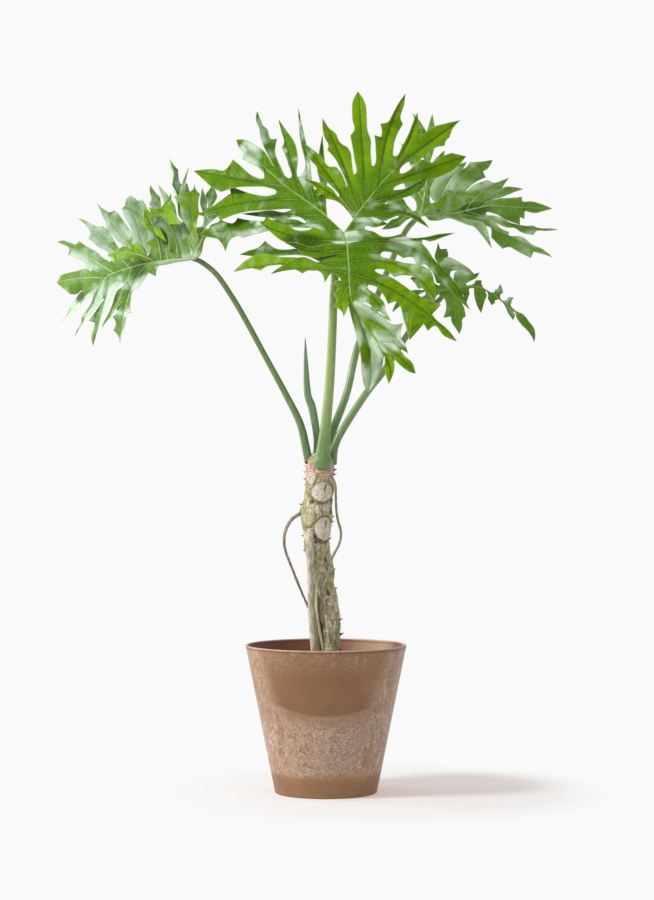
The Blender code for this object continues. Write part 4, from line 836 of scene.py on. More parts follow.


# Each blade: its joint with the stalk, how its depth grows to the right of that joint (swing and
# arch) and above it (lean, sag and curl), how its lobes roll, its main veins, and its lobes in
# order round the edge, from the cut at the stalk past the tip and back to that cut. Cleft is the
# bottom of the cut, or bare is the share of the first and the last vein that has no blade beside
# the cut. Patches are ovals of their own tone and painted sheen, the dark ones painted shade:
# right, up, half width, half height, tone and sheen. The pale strip is a folded part under the
# midrib, from one distance to another, painted light where light comes through it.
LEAVES = {
    "front": dict(
        joint=(31, 974, -50), base_look=(0.5, 0.15),
        # most of these patches are painted sheen; the one at (-70, -15) is painted shade
        patches=((0, -9, 30, 15, 0.6, 0.95), (32, -200, 26, 95, 0.9, 1.2), (74, -172, 42, 40, 0.95, 0.85),
            (40, -198, 10, 40, 0.7, 0.35), (100, -222, 16, 12, 0.95, 0.2), (98, -20, 26, 12, 0.4, 1.0),
            (-70, -15, 38, 13, 0.0, 0.1), (70, 50, 30, 11, 0.3, 0.1)),
        swing=0.0, lean=0.62, arch=0.0011, sag=0.0004, curl=-1.5e-06, roll=0.25, bare=(0.22, 0.2),
        axes=dict(first=((-30, 28), (-68, 56), (-101, 80), (-136, 110)),
            mid=((5, -23), (8, -57), (9, -90), (13, -116), (20, -135), (36, -160), (60, -190)),
            last=((23, 33), (38, 52), (66, 87), (88, 110))),
        lobes=(
            lobe("first", 0.25, (-37, 170), 9, -34, look=(0.35, 0.45), via=(-38, 100), sinus=(-50, 74)),
            lobe("first", 0.38, (-79, 217), 9, -38, look=(0.4, 0.7), via=(-68, 130), after=((-77, 168),),
                sinus=(-80, 96)),
            lobe("first", 0.52, (-114, 197), 12, -16, look=(0.5, 0.1), via=(-90, 118), sinus=(-94, 94),
                edges=(((-80, 132), (-84, 152), (-101, 179)), ((-97, 119), (-108, 147, 1), (-104, 158),
                (-109, 176)))),
            lobe("first", 0.72, (-151, 211), 13, -8, look=(0.45, 0.35), via=(-126, 148),
                sinus=(-122, 114),
                edges=(((-111, 117), (-119, 140), (-116, 163, 1), (-126, 162), (-133, 179), (-143, 188)),
                ((-134, 137), (-145, 165), (-147, 179), (-153, 195)))),
            lobe("first", 1.0, (-187, 161), 12, 2, look=(0.6, 0.62), via=(-160, 138), sinus=(-138, 95),
                edges=(((-130, 128), (-141, 143), (-154, 151), (-172, 161)), ((-147, 111), (-165, 121),
                (-177, 128, 1), (-175, 137), (-183, 148)))),
            lobe("first", 0.72, (-262, 107), 15, 12, look=(0.62, 0.0), via=(-180, 92), sinus=(-117, 70),
                edges=(((-158, 98), (-179, 115), (-193, 127, 1), (-200, 115), (-208, 108), (-227, 110),
                (-245, 109)), ((-131, 77), (-161, 79), (-190, 77), (-213, 70, 1), (-228, 77),
                (-246, 93)))),
            lobe("first", 0.5, (-256, 31), 16, 0, look=(0.62, 0.05), via=(-160, 53), sinus=(-92, 40),
                edges=(((-129, 64), (-151, 65), (-179, 73), (-200, 82, 1), (-195, 68), (-218, 52),
                (-239, 39)), ((-133, 38), (-172, 35), (-197, 28), (-215, 20, 1), (-222, 30),
                (-240, 27)))),
            lobe("first", 0.26, (-178, 32), 8, -16, look=(0.3, 0.25), via=(-108, 30), sinus=(-66, 16)),
            lobe("first", 0.14, (-252, -4), 13, -12, look=(0.4, 0.45), via=(-140, 10),
                before=((-185, 25), (-214, 22)), after=((-176, -10), (-206, -34)), sinus=(-56, 6)),
            lobe("mid", 0.08, (-148, 18), 13, 6, look=(0.8, 0.0), via=(-82, -8), sinus=(-34, -22),
                edges=(((-78, 3), (-97, 10), (-115, 16), (-135, 27, 1), (-138, 20)), ((-60, -27),
                (-85, -23), (-108, -15), (-132, 4)))),
            lobe("mid", 0.15, (-103, -18), 12, 16, look=(0.6, 0.0), via=(-56, -33), rise=0.8,
                sinus=(-40, -44),
                edges=(((-44, -24), (-58, -25), (-72, -21), (-88, -17)), ((-52, -44), (-68, -40),
                (-84, -28)))),
            lobe("mid", 0.21, (-182, -39), 12, -26, look=(0.25, 0.45), via=(-92, -38),
                before=((-137, -15),), after=((-140, -44),), sinus=(-42, -52)),
            lobe("mid", 0.27, (-192, -69), 13, -6, look=(0.95, 0.0), via=(-104, -56), sinus=(-34, -64),
                edges=(((-80, -44), (-115, -42), (-135, -37, 1), (-154, -40), (-172, -50)), ((-85, -63),
                (-126, -56), (-145, -67, 1), (-165, -62)))),
            lobe("mid", 0.34, (-128, -73), 11, 14, look=(0.75, 0.05), via=(-66, -64), sinus=(-5, -83),
                edges=(((-52, -50), (-72, -43), (-87, -47), (-111, -60)), ((-20, -72), (-33, -88, 1),
                (-40, -70), (-60, -66), (-72, -72, 1), (-87, -64), (-110, -68)))),
            lobe("mid", 0.44, (0, -147), 10, 14, look=(0.75, 0.0), via=(-4, -118), sinus=(7, -120),
                edges=(((-14, -84), (-17, -90), (-11, -97), (-18, -107, 1), (-13, -119), (-19, -130, 1),
                (-5, -136)), ((9, -121), (6, -134)))),
            lobe("mid", 0.62, (43, -280), 16, -20, look=(0.62, 0.66), via=(44, -205), sinus=(70, -216),
                edges=(((13, -148), (20, -174), (29, -215), (31, -243), (35, -266)), ((68, -229),
                (63, -245), (53, -266)))),
            lobe("mid", 0.88, (78, -264), 8, -10, look=(1.0, 0.0), via=(78, -228), sinus=(82, -212),
                edges=(((71, -224), (72, -243)), ((88, -228), (86, -247)))),
            lobe("mid", 1.0, (125, -246), 11, 2, look=(0.75, 0.05), via=(92, -212), sinus=(86, -192),
                edges=(((90, -223), (105, -237), (114, -243)), ((95, -201), (106, -215), (119, -227)))),
            lobe("mid", 0.72, (112, -211), 18, -4, look=(0.8, 0.42), via=(72, -166), sinus=(32, -122),
                edges=(((92, -198), (104, -206)), ((50, -132), (68, -146), (84, -160), (103, -158, 1),
                (99, -182), (107, -196)))),
            lobe("mid", 0.44, (83, -155), 11, 16, look=(0.6, 0.1), via=(50, -114), sinus=(41, -94),
                edges=(((38, -122), (54, -138, 1), (62, -138), (72, -150)), ((56, -108), (70, -122),
                (74, -138)))),
            lobe("mid", 0.34, (197, -190), 17, 8, look=(0.85, 0.0), via=(104, -112), sinus=(54, -67),
                edges=(((56, -95), (70, -111), (77, -125, 1), (90, -121), (105, -156), (114, -188, 1),
                (122, -144), (136, -156), (146, -172, 1), (158, -163), (174, -180)), ((86, -80),
                (105, -93), (123, -106), (141, -115), (169, -126, 1), (150, -133), (163, -154),
                (178, -166)))),
            lobe("mid", 0.24, (160, -119), 13, 0, look=(0.95, 0.35), via=(100, -60), sinus=(64, -38),
                edges=(((70, -65), (87, -78, 1), (105, -75), (126, -80), (138, -99)), ((84, -47),
                (105, -53), (133, -57), (151, -68), (158, -92)))),
            lobe("mid", 0.1, (220, -136), 14, 6, look=(0.55, 0.55), via=(132, -32), sinus=(136, -15),
                edges=(((86, -36), (103, -45, 1), (120, -44), (126, -62, 1), (140, -56), (155, -72),
                (161, -88, 1), (176, -93), (195, -113)), ((146, -30), (157, -47), (173, -66), (191, -82),
                (207, -110)))),
            lobe("mid", 0.06, (194, -1), 7, -4, look=(0.45, 0.2), via=(112, -13), sinus=(36, 6),
                edges=(((150, -16), (172, -9)), ((52, 1), (66, -7), (84, -7), (98, -3, 1), (112, -9),
                (138, -9), (166, -3)))),
            lobe("last", 0.14, (77, 14), 8, 8, look=(0.4, 0.5), via=(46, 16), sinus=(52, 27)),
            lobe("last", 0.3, (149, 7), 12, 14, look=(0.3, 0.35), via=(96, 38), sinus=(72, 51),
                edges=(((78, 24), (94, 30), (112, 27), (132, 16)), ((86, 51), (105, 44), (123, 34),
                (138, 21)))),
            lobe("last", 0.46, (146, 98), 11, 6, look=(0.45, 0.1), via=(98, 67), sinus=(86, 76),
                edges=(((88, 55), (109, 61), (130, 70), (142, 84)), ((106, 76), (124, 88, 1),
                (134, 90)))),
            lobe("last", 0.66, (213, 132), 16, -2, look=(0.9, 0.0), via=(136, 106), sinus=(97, 103),
                edges=(((120, 89), (151, 92), (173, 99), (195, 112)), ((112, 107), (124, 117),
                (137, 127, 1), (150, 121), (173, 133), (188, 138, 1), (200, 135)))),
            lobe("last", 1.0, (203, 195), 15, -8, look=(0.95, 0.0), via=(152, 158), sinus=(130, 170),
                edges=(((108, 120), (126, 125), (140, 131), (151, 142), (162, 148), (175, 150, 1),
                (177, 158), (184, 165, 1), (188, 177)), ((141, 173), (155, 183), (176, 189)))),
            lobe("last", 1.0, (128, 209), 10, -10, look=(0.9, 0.0), via=(116, 168), sinus=(89, 132),
                edges=(((131, 180), (130, 194)), ((102, 151), (112, 170), (121, 193)))),
            lobe("last", 0.76, (107, 241), 15, -16, look=(1.0, 0.0), via=(76, 168), sinus=(52, 115),
                edges=(((87, 150), (92, 168), (103, 188, 1), (99, 197), (105, 222)), ((55, 147),
                (53, 169, 1), (63, 164), (66, 173), (63, 189, 1), (77, 192), (84, 204), (93, 221)))),
            lobe("last", 0.46, (25, 245), 16, -6, look=(0.85, 0.0), via=(32, 158), sinus=(20, 101),
                edges=(((47, 136), (47, 160), (41, 179), (40, 197), (37, 225)), ((18, 128), (15, 147),
                (11, 168, 1), (18, 178), (15, 195), (14, 211), (16, 230)))),
            lobe("last", 0.34, (-37, 199), 14, 6, look=(0.95, 0.0), via=(-6, 130), sinus=(6, 79),
                edges=(((14, 122), (12, 138), (6, 148, 1), (-8, 158), (-13, 170), (-26, 182)), ((-6, 110),
                (-17, 130), (-29, 143, 1), (-27, 152), (-33, 163), (-37, 180)))),
            lobe("last", 0.28, (-69, 154), 12, 18, look=(0.8, 0.0), via=(-26, 98), sinus=(-8, 62),
                edges=(((-5, 104), (-15, 114), (-24, 114), (-40, 132), (-55, 145)), ((-20, 78), (-34, 92),
                (-45, 104), (-48, 114), (-57, 124)))),
            lobe("last", 0.25, (-70, 94), 10, 30, look=(0.95, 0.0), via=(-24, 68),
                edges=(((-20, 75), (-36, 84), (-52, 89)), ((-16, 55), (-31, 58, 1), (-34, 65),
                (-46, 63, 1), (-46, 72), (-58, 84)))),
        )),
    "left": dict(
        joint=(-233, 929, 18), base_look=(0.45, 0.5), pale_strip=(-62, -6),
        # the first patch is painted shade and the other two painted sheen
        patches=((-58, 62, 18, 11, 0.2, 0.45), (-95, 38, 30, 12, 0.4, 1.1), (-170, 12, 24, 12, 0.4, 1.0)),
        swing=0.2, lean=0.72, arch=0.0011, sag=0.0011, curl=-2e-06, roll=0.7, cleft=(12, 2),
        axes=dict(first=((15, 30), (24, 61), (31, 93)),
            mid=((-57, -5), (-110, -17), (-146, -30), (-159, -45))),
        lobes=(
            lobe("first", 0.4, (50, 64), 7, -4, look=(0.3, 0.25)),
            lobe("first", 0.7, (72, 116), 9, -6, look=(0.3, 0.3), via=(44, 84)),
            lobe("first", 1.0, (37, 128), 11, -6, look=(0.35, 0.3)),
            lobe("first", 0.78, (18, 122), 7, -8, look=(0.4, 0.5), via=(20, 98)),
            lobe("first", 0.3, (5, 130), 11, 30, look=(0.95, 0.3), via=(0, 78), rise=0.8, sinus=(-5, 47),
                edges=(((10, 47), (9, 64), (13, 78, 1), (11, 93), (14, 112, 1), (9, 116)), ((-8, 55),
                (-16, 64, 1), (-16, 80), (-22, 94), (-32, 107, 1), (-20, 112), (-7, 115, 1), (0, 118)))),
            lobe("first", 0.2, (-5, 159), 6, -14, look=(0.5, 0.6), via=(-16, 84)),
            lobe("first", 0.12, (-39, 174), 9, -20, look=(0.35, 0.5), via=(-26, 93), sinus=(-15, 62),
                edges=(((-6, 91), (-4, 113), (-8, 130, 1), (-16, 128), (-24, 154, 1), (-31, 161)),
                ((-23, 73), (-25, 100), (-28, 115), (-35, 127, 1), (-32, 146), (-36, 162)))),
            lobe("mid", 0.08, (-60, 128), 9, -14, look=(0.4, 0.7), via=(-32, 74)),
            lobe("mid", 0.16, (-77, 89), 14, 34, look=(1.0, 0.3), via=(-38, 55), rise=0.8,
                sinus=(-40, 14),
                edges=(((-18, 59), (-26, 71), (-33, 84), (-36, 113, 1), (-40, 95), (-42, 84), (-48, 87),
                (-55, 86, 1), (-64, 87)), ((-45, 44), (-58, 54), (-72, 54, 1), (-65, 64), (-73, 73, 1),
                (-73, 82)))),
            lobe("mid", 0.24, (-72, 128), 10, -6, look=(0.45, 0.6), via=(-59, 64),
                edges=(((-45, 64), (-51, 82), (-54, 95), (-55, 106, 1), (-63, 114), (-69, 122)),
                ((-67, 64), (-68, 84), (-75, 94, 1), (-71, 102), (-74, 118)))),
            lobe("mid", 0.32, (-88, 93), 13, 34, look=(1.0, 0.0), via=(-63, 42), rise=0.8,
                sinus=(-73, 12),
                edges=(((-45, 28), (-53, 46), (-61, 60), (-69, 73), (-78, 86)), ((-74, 20), (-83, 26, 1),
                (-75, 33), (-77, 47), (-87, 62, 1), (-84, 78)))),
            lobe("mid", 0.37, (-148, 4), 13, 46, look=(1.0, 0.0), via=(-111, 10), rise=0.8,
                sinus=(-92, -4),
                edges=(((-75, 5), (-84, 12), (-89, 22), (-95, 28, 1), (-101, 24), (-104, 17), (-111, 20),
                (-122, 20, 1), (-135, 11)), ((-100, -2), (-111, -1), (-122, -2), (-132, -10, 1),
                (-134, -3), (-142, 1)))),
            lobe("mid", 0.42, (-107, 109), 12, 0, look=(0.4, 0.8), via=(-93, 51), sinus=(-103, 24),
                edges=(((-67, 21), (-71, 62), (-80, 91), (-86, 102, 1), (-92, 99), (-99, 104)),
                ((-103, 33), (-107, 53), (-117, 69), (-123, 86, 1), (-117, 91), (-115, 102)))),
            lobe("mid", 0.52, (-166, 96), 14, -2, look=(0.45, 0.85), via=(-129, 49), sinus=(-122, 11),
                edges=(((-99, 33), (-111, 53), (-122, 69), (-129, 78), (-135, 83, 1), (-141, 80),
                (-153, 85)), ((-120, 18), (-133, 33), (-150, 51, 1), (-150, 62), (-156, 73),
                (-161, 87)))),
            lobe("mid", 0.66, (-199, 69), 13, 2, look=(0.45, 0.9), via=(-164, 38), sinus=(-141, -5),
                edges=(((-126, 16), (-138, 35), (-146, 47), (-155, 56, 1), (-166, 55), (-176, 60),
                (-187, 66)), ((-144, 7), (-162, 19), (-180, 33, 1), (-177, 44), (-183, 56), (-191, 64)))),
            lobe("mid", 0.82, (-235, 28), 13, 2, look=(0.45, 0.72), via=(-186, 4), sinus=(-175, -22),
                edges=(((-149, -3), (-166, 11), (-182, 20), (-197, 30, 1), (-201, 25), (-214, 28),
                (-224, 31)), ((-183, -17), (-188, -7), (-204, 0), (-216, 6, 1), (-213, 12), (-215, 19),
                (-224, 26)))),
            lobe("mid", 0.92, (-236, -43), 15, 8, look=(0.55, 0.15), via=(-197, -35), sinus=(-191, -56),
                edges=(((-183, -18), (-200, -22), (-218, -26), (-229, -30, 1), (-231, -35)), ((-199, -62),
                (-212, -63, 1), (-220, -57), (-229, -49)))),
            lobe("mid", 1.0, (-228, -112), 10, 6, look=(0.45, 0.9), via=(-193, -73), sinus=(-165, -56),
                edges=(((-197, -62), (-201, -69), (-211, -83), (-218, -98)), ((-169, -60), (-180, -69, 1),
                (-189, -75), (-200, -88), (-211, -102, 1), (-215, -100)))),
            lobe("mid", 0.94, (-204, -137), 10, 2, look=(0.45, 0.9), via=(-176, -84), sinus=(-157, -70),
                edges=(((-171, -64), (-173, -73, 1), (-177, -81), (-184, -91), (-193, -102, 1),
                (-193, -113), (-201, -126)), ((-152, -64), (-160, -75), (-169, -89), (-181, -101),
                (-193, -118), (-200, -129)))),
            lobe("mid", 0.86, (-172, -154), 10, 0, look=(0.45, 0.85), via=(-153, -80), sinus=(-119, -43),
                edges=(((-152, -67), (-162, -84), (-180, -109, 1), (-170, -105), (-171, -120),
                (-176, -140)), ((-133, -53), (-143, -75), (-153, -93), (-161, -106), (-167, -122),
                (-173, -142)))),
            lobe("mid", 0.62, (-157, -122), 8, 12, look=(0.45, 0.3), via=(-131, -78), sinus=(-116, -49),
                edges=(((-131, -58), (-140, -84), (-149, -102), (-154, -111)), ((-118, -64), (-126, -82),
                (-136, -93, 1), (-140, -102), (-149, -111)))),
            lobe("mid", 0.44, (-125, -149), 14, 18, look=(0.28, 0.55), via=(-109, -62),
                edges=(((-116, -38), (-122, -55), (-127, -69), (-135, -83, 1), (-130, -93),
                (-138, -102, 1), (-133, -115), (-138, -125, 1), (-131, -132)), ((-24, -7), (-42, -11),
                (-57, -13), (-63, -32, 1), (-71, -22), (-82, -36), (-94, -53, 1), (-101, -55),
                (-106, -73), (-107, -87), (-106, -96, 1), (-111, -91), (-114, -104), (-117, -119, 1),
                (-122, -131)))),
        )),
    "right_back": dict(
        joint=(163, 1001, 122), base_look=(0.5, 0.3),
        # the first patch is painted shade in a deep hollow, the last painted sheen
        patches=((98, 13, 30, 12, 0.05, 0.0), (170, 18, 52, 15, 0.45, 0.05), (75, 52, 34, 9, 0.6, 0.9)),
        swing=-0.05, lean=0.5, arch=0.0011, sag=0.0012, curl=0.0, roll=0.5, cleft=(-8, 10),
        axes=dict(first=((-22, 4), (-44, 4)),
            mid=((30, 3), (60, 6), (90, 13), (120, 20)),
            last=((8, 40), (14, 80), (18, 110))),
        lobes=(
            lobe("first", 0.5, (-62, 34), 16, 6, look=(0.4, 0.4), via=(-42, 22)),
            lobe("first", 1.0, (-88, 2), 11, 4, look=(0.35, 0.3)),
            lobe("first", 0.45, (-66, -22), 9, 10, look=(0.4, 0.2), via=(-44, -12)),
            lobe("mid", 0.22, (126, -57), 11, 10, look=(0.6, 0.75), via=(84, -8), sinus=(109, -8),
                edges=(((16, -6), (31, -7), (51, -3), (67, -8), (82, -14), (93, -17), (105, -29),
                (117, -44)), ((115, -16), (120, -31), (123, -44)))),
            lobe("mid", 0.42, (231, -71), 12, 0, look=(0.45, 0.45), via=(135, -24), sinus=(119, -2),
                edges=(((124, -21), (124, -36, 1), (130, -42), (144, -56, 1), (156, -53), (169, -60),
                (193, -72, 1), (192, -62), (209, -64)), ((130, -8), (141, -20), (156, -26, 1), (154, -30),
                (179, -35), (195, -48), (215, -57)))),
            lobe("mid", 0.66, (241, -23), 9, -4, look=(0.4, 0.55), via=(164, -12), sinus=(115, 6),
                edges=(((133, -11), (151, -19), (165, -20), (176, -27), (198, -32, 1), (202, -26),
                (220, -25)), ((130, 2), (144, -2), (161, -12), (179, -16), (197, -15, 1), (207, -20),
                (227, -20)))),
            lobe("mid", 1.0, (231, 14), 14, 6, look=(0.55, 0.05), via=(161, 17), sinus=(130, 30),
                edges=(((130, 5), (151, -6), (174, -14, 1), (160, 2), (182, -4, 1), (179, 8), (202, 6),
                (217, 10)), ((139, 32), (158, 33), (178, 35, 1), (178, 28), (194, 27), (215, 21)))),
            lobe("mid", 0.86, (181, 48), 8, -4, look=(0.5, 0.25), via=(151, 42), sinus=(118, 35),
                edges=(((138, 32), (151, 37), (166, 43)), ((133, 45), (149, 52), (169, 51)))),
            lobe("mid", 0.66, (156, 68), 12, 6, look=(0.6, 0.6), via=(115, 48), sinus=(81, 45),
                edges=(((118, 33), (129, 40), (139, 43, 1), (147, 56)), ((92, 54), (102, 59),
                (119, 64, 1), (126, 60), (141, 61)))),
            lobe("mid", 0.42, (127, 99), 13, 2, look=(0.55, 0.4), via=(77, 70), sinus=(51, 56),
                edges=(((86, 51), (99, 61), (115, 68, 1), (108, 76), (119, 84)), ((62, 70), (70, 81),
                (79, 85), (87, 95, 1), (107, 96)))),
            lobe("mid", 0.22, (82, 96), 11, -8, look=(0.5, 0.8), via=(49, 58),
                edges=(((61, 64), (72, 79), (78, 87)), ((17, 40), (22, 58), (37, 74, 1), (53, 79),
                (65, 89)))),
            lobe("mid", 0.1, (100, 34), 13, 26, look=(0.7, 0.15), via=(51, 20), rise=0.8, sinus=(18, 25),
                edges=(((41, 2), (59, 11), (77, 21), (91, 27)), ((26, 25), (36, 34), (51, 43, 1),
                (66, 37), (82, 35)))),
            lobe("last", 0.4, (44, 116), 11, -10, look=(0.4, 0.6), via=(28, 82)),
            lobe("last", 1.0, (22, 179), 10, -4, look=(0.4, 0.45)),
            lobe("last", 0.78, (-13, 181), 10, -10, look=(0.35, 0.4), via=(4, 142)),
            lobe("last", 0.5, (-34, 128), 12, -10, look=(0.4, 0.5), via=(-8, 96)),
            lobe("last", 0.24, (-38, 76), 17, -6, look=(0.4, 0.5), via=(-12, 54)),
        )),
    "right_low": dict(
        joint=(210, 874, 112), base_look=(0.5, 0.3),
        swing=0.0, lean=0.5, arch=0.0016, sag=0.0016, curl=0.0, roll=0.4, cleft=(-12, 8),
        axes=dict(first=((-22, 0), (-44, -2)),
            mid=((30, 6), (60, 4), (84, -10), (110, -31), (127, -42)),
            last=((-6, 22), (-14, 46))),
        lobes=(
            lobe("first", 0.55, (-64, 20), 15, -4, look=(0.4, 0.4), via=(-42, 14)),
            lobe("first", 1.0, (-95, -40), 9, 0, via=(-74, -16)),
            lobe("first", 0.5, (-42, -42), 14, 4, look=(0.5, 0.5), via=(-34, -20)),
            lobe("mid", 0.08, (22, -77), 15, 12, look=(0.6, 0.3), via=(12, -36), sinus=(21, -8),
                edges=(((-14, -8), (-4, -16), (-1, -27), (-6, -49, 1), (6, -44), (8, -55), (16, -68)),
                ((26, -21), (31, -34), (33, -47, 1), (28, -50), (27, -63)))),
            lobe("mid", 0.26, (34, -23), 6, 8, look=(0.35, 0.3), via=(34, -8)),
            lobe("mid", 0.42, (60, -41), 10, 6, look=(0.55, 0.35), via=(58, -16),
                edges=(((47, -3), (49, -16), (55, -33)), ((70, -10), (67, -17), (63, -30)))),
            lobe("mid", 0.54, (78, -27), 7, 0, look=(0.5, 0.3), via=(78, -16)),
            lobe("mid", 0.8, (115, -53), 6, 4, look=(0.4, 0.4), via=(112, -40)),
            lobe("mid", 1.0, (152, -92), 8, 2, look=(0.45, 0.35), via=(142, -58),
                edges=(((122, -50), (130, -61), (140, -71), (149, -84)), ((132, -42), (143, -55),
                (153, -70), (154, -81)))),
            lobe("mid", 0.84, (117, -14), 6, -4, look=(0.5, 0.6), via=(108, -20)),
            lobe("mid", 0.6, (93, 10), 8, -6, look=(0.5, 0.75), via=(90, -4)),
            lobe("mid", 0.34, (61, 16), 6, -4, via=(54, 12)),
            lobe("mid", 0.14, (57, 30), 10, 6, look=(0.5, 0.5), via=(30, 19), sinus=(9, 17),
                edges=(((32, 8), (43, 16), (51, 20)), ((14, 30), (28, 35), (45, 27)))),
            lobe("last", 0.6, (52, 21), 11, 4, look=(0.6, 0.75), via=(22, 42), sinus=(-6, 53),
                edges=(((7, 31), (25, 32), (43, 20)), ((-1, 57), (6, 56), (20, 49), (41, 35)))),
            lobe("last", 1.0, (-15, 83), 8, 0, look=(0.45, 0.2),
                edges=(((2, 58), (0, 71, 1), (-6, 67)), ((-21, 58), (-18, 71)))),
            lobe("last", 0.55, (-46, 58), 10, -8, look=(0.4, 0.5), via=(-26, 44)),
        )),
}


class Plan:
    """The layout of one leaf: numbered places in mm right of, above and in front of its sheet."""

    def __init__(self, leaf):
        self.leaf = leaf
        self.flat = []
        self.veins = {}
        for axis, points in leaf["axes"].items():
            curve = curve_through([(0, 0), *points], 8)
            lengths = np.cumsum([0] + [np.linalg.norm(b - a) for a, b in zip(curve, curve[1:])])
            self.veins[axis] = (lengths / lengths[-1], np.array(curve))
        self.joint = self.add((0, 0), 0)
        self.stations = {}

    def add(self, point, lift):
        self.flat.append((point[0], point[1], lift))
        return len(self.flat) - 1

    def on_axis(self, axis, fraction):
        shares, curve = self.veins[axis]
        return np.array([np.interp(fraction, shares, curve[:, k]) for k in (0, 1)])

    def station(self, axis, step):
        if step == 0:
            return self.joint
        if (axis, step) not in self.stations:
            self.stations[axis, step] = self.add(self.on_axis(axis, step / LATTICE_STEPS), 0)
        return self.stations[axis, step]

    def fan(self, axis, start, end):
        """Numbers of the axis vertices from one step to another, both included."""
        steps = [0] + sorted(step for name, step in self.stations if name == axis)
        chosen = [step for step in steps if min(start, end) <= step <= max(start, end)]
        return [self.station(axis, step) for step in (chosen if start <= end else chosen[::-1])]


def spine_of(plan, part):
    """The lobe's own vein as a function of a fraction: right, up and lift."""
    root = plan.on_axis(part["axis"], part["step"] / LATTICE_STEPS)
    tip = np.array(part["tip"], float)
    via = np.array(part["via"], float) if part["via"] else (root + tip) / 2
    bend = 2 * via - (root + tip) / 2

    def at(t):
        point = root * (1 - t) ** 2 + 2 * bend * t * (1 - t) + tip * t**2
        return np.array([point[0], point[1], part["lift"] * t ** part["rise"]])

    return at


def apart(one, other):
    """The distance between two places, seen from the front of the leaf."""
    return np.hypot(one[0] - other[0], one[1] - other[1])


def nearest(spine, point):
    fractions = np.linspace(0, 1, 61)
    return fractions[int(np.argmin([apart(spine(t), point) for t in fractions]))]


def sinus_between(one, other):
    """Where the cut between two neighbouring lobes ends, unless the table says."""
    if one["sinus"]:
        lifts = [part["spine"](nearest(part["spine"], one["sinus"]))[2] for part in (one, other)]
        return (*one["sinus"], 0.5 * sum(lifts))
    wanted = 0.8 * (one["half"] + other["half"])
    for t in np.linspace(0.08, 0.5, 30):
        a, b = one["spine"](t), other["spine"](t)
        if apart(a, b) > wanted:
            break
    return tuple((a + b) / 2)


def rolled(part, start, side, t, reach):
    """How far the lobe's roll lifts its edge, from nothing at the cut."""
    return part["roll"] * side * reach * min((t - start) / 0.25, 1.0)


def tooth_wave(number, side):
    return TOOTH_WAVE * (1 if (number + (side > 0)) % 2 else -1)


def drawn_edge(part, start, side):
    """An edge given in full: fraction along the vein, place, and whether it is sharp."""
    spine, last, points = part["spine"], start, []
    for number, (right, up, *sharp) in enumerate(part["edges"][side > 0]):
        t = min(max(nearest(spine, (right, up)), last + 0.012), 0.985)
        roll = rolled(part, start, side, t, apart(spine(t), (right, up)))
        wave = tooth_wave(number, side) if sharp else 0
        points.append((t, (right, up, spine(t)[2] + roll + wave), bool(sharp)))
        last = t
    return points


def edge_points(part, teeth, start, side, sinus_gap):
    """The free edge from a sinus to the tip: a neck, then each tooth with its foot and the notch
    behind it, and a taper to the tip: fraction along the vein, place, and whether it is sharp."""
    if part["edges"][side > 0]:
        return drawn_edge(part, start, side)
    spine = part["spine"]
    length = apart(spine(1.0), spine(0.0))

    def offset(t, reach, lift=0.0):
        here, ahead = spine(t), spine(min(t + 0.02, 1.0)) - spine(max(t - 0.02, 0.0))
        across = np.array([-ahead[1], ahead[0]]) / (np.hypot(ahead[0], ahead[1]) + 1e-9)
        place = here[:2] + across * side * reach
        return (*place, here[2] + lift + rolled(part, start, side, t, reach))

    neck = start + max(0.05, NECK / length)
    reach = min(0.7 * part["half"], 0.8 * sinus_gap)
    points = [(neck, offset(neck, reach), False)]
    spots = sorted(((nearest(spine, tooth), tooth) for tooth in teeth), key=lambda spot: spot[0])
    for number, (t, tooth) in enumerate(spots):
        wave = tooth_wave(number, side)
        reach = min(apart(spine(t), tooth), 1.3 * part["half"])
        foot = t - max(SHORTEST_TOOTH, TOOTH_FOOT / length)
        if foot > points[-1][0] + 0.03:
            points.append((foot, offset(foot, 0.8 * reach), False))
        lift = spine(t)[2] + wave + rolled(part, start, side, t, reach)
        points.append((t, (*tooth, lift), True))
        notch = t + 0.25 * (1 - t) if number + 1 == len(spots) else t + 0.03
        reach = 0.74 * reach
        points.append((notch, offset(notch, reach, -wave / 2), False))
    if not spots:
        reach = 0.95 * part["half"]
        middle = start + 0.38 * (1 - start)
        points.append((middle, offset(middle, reach), False))
    last = points[-1][0]
    for share in (0.45, 0.8):
        t = last + (1 - last) * share
        points.append((t, offset(t, max(reach * (1 - share) ** 0.85, 1.0)), False))
    return points


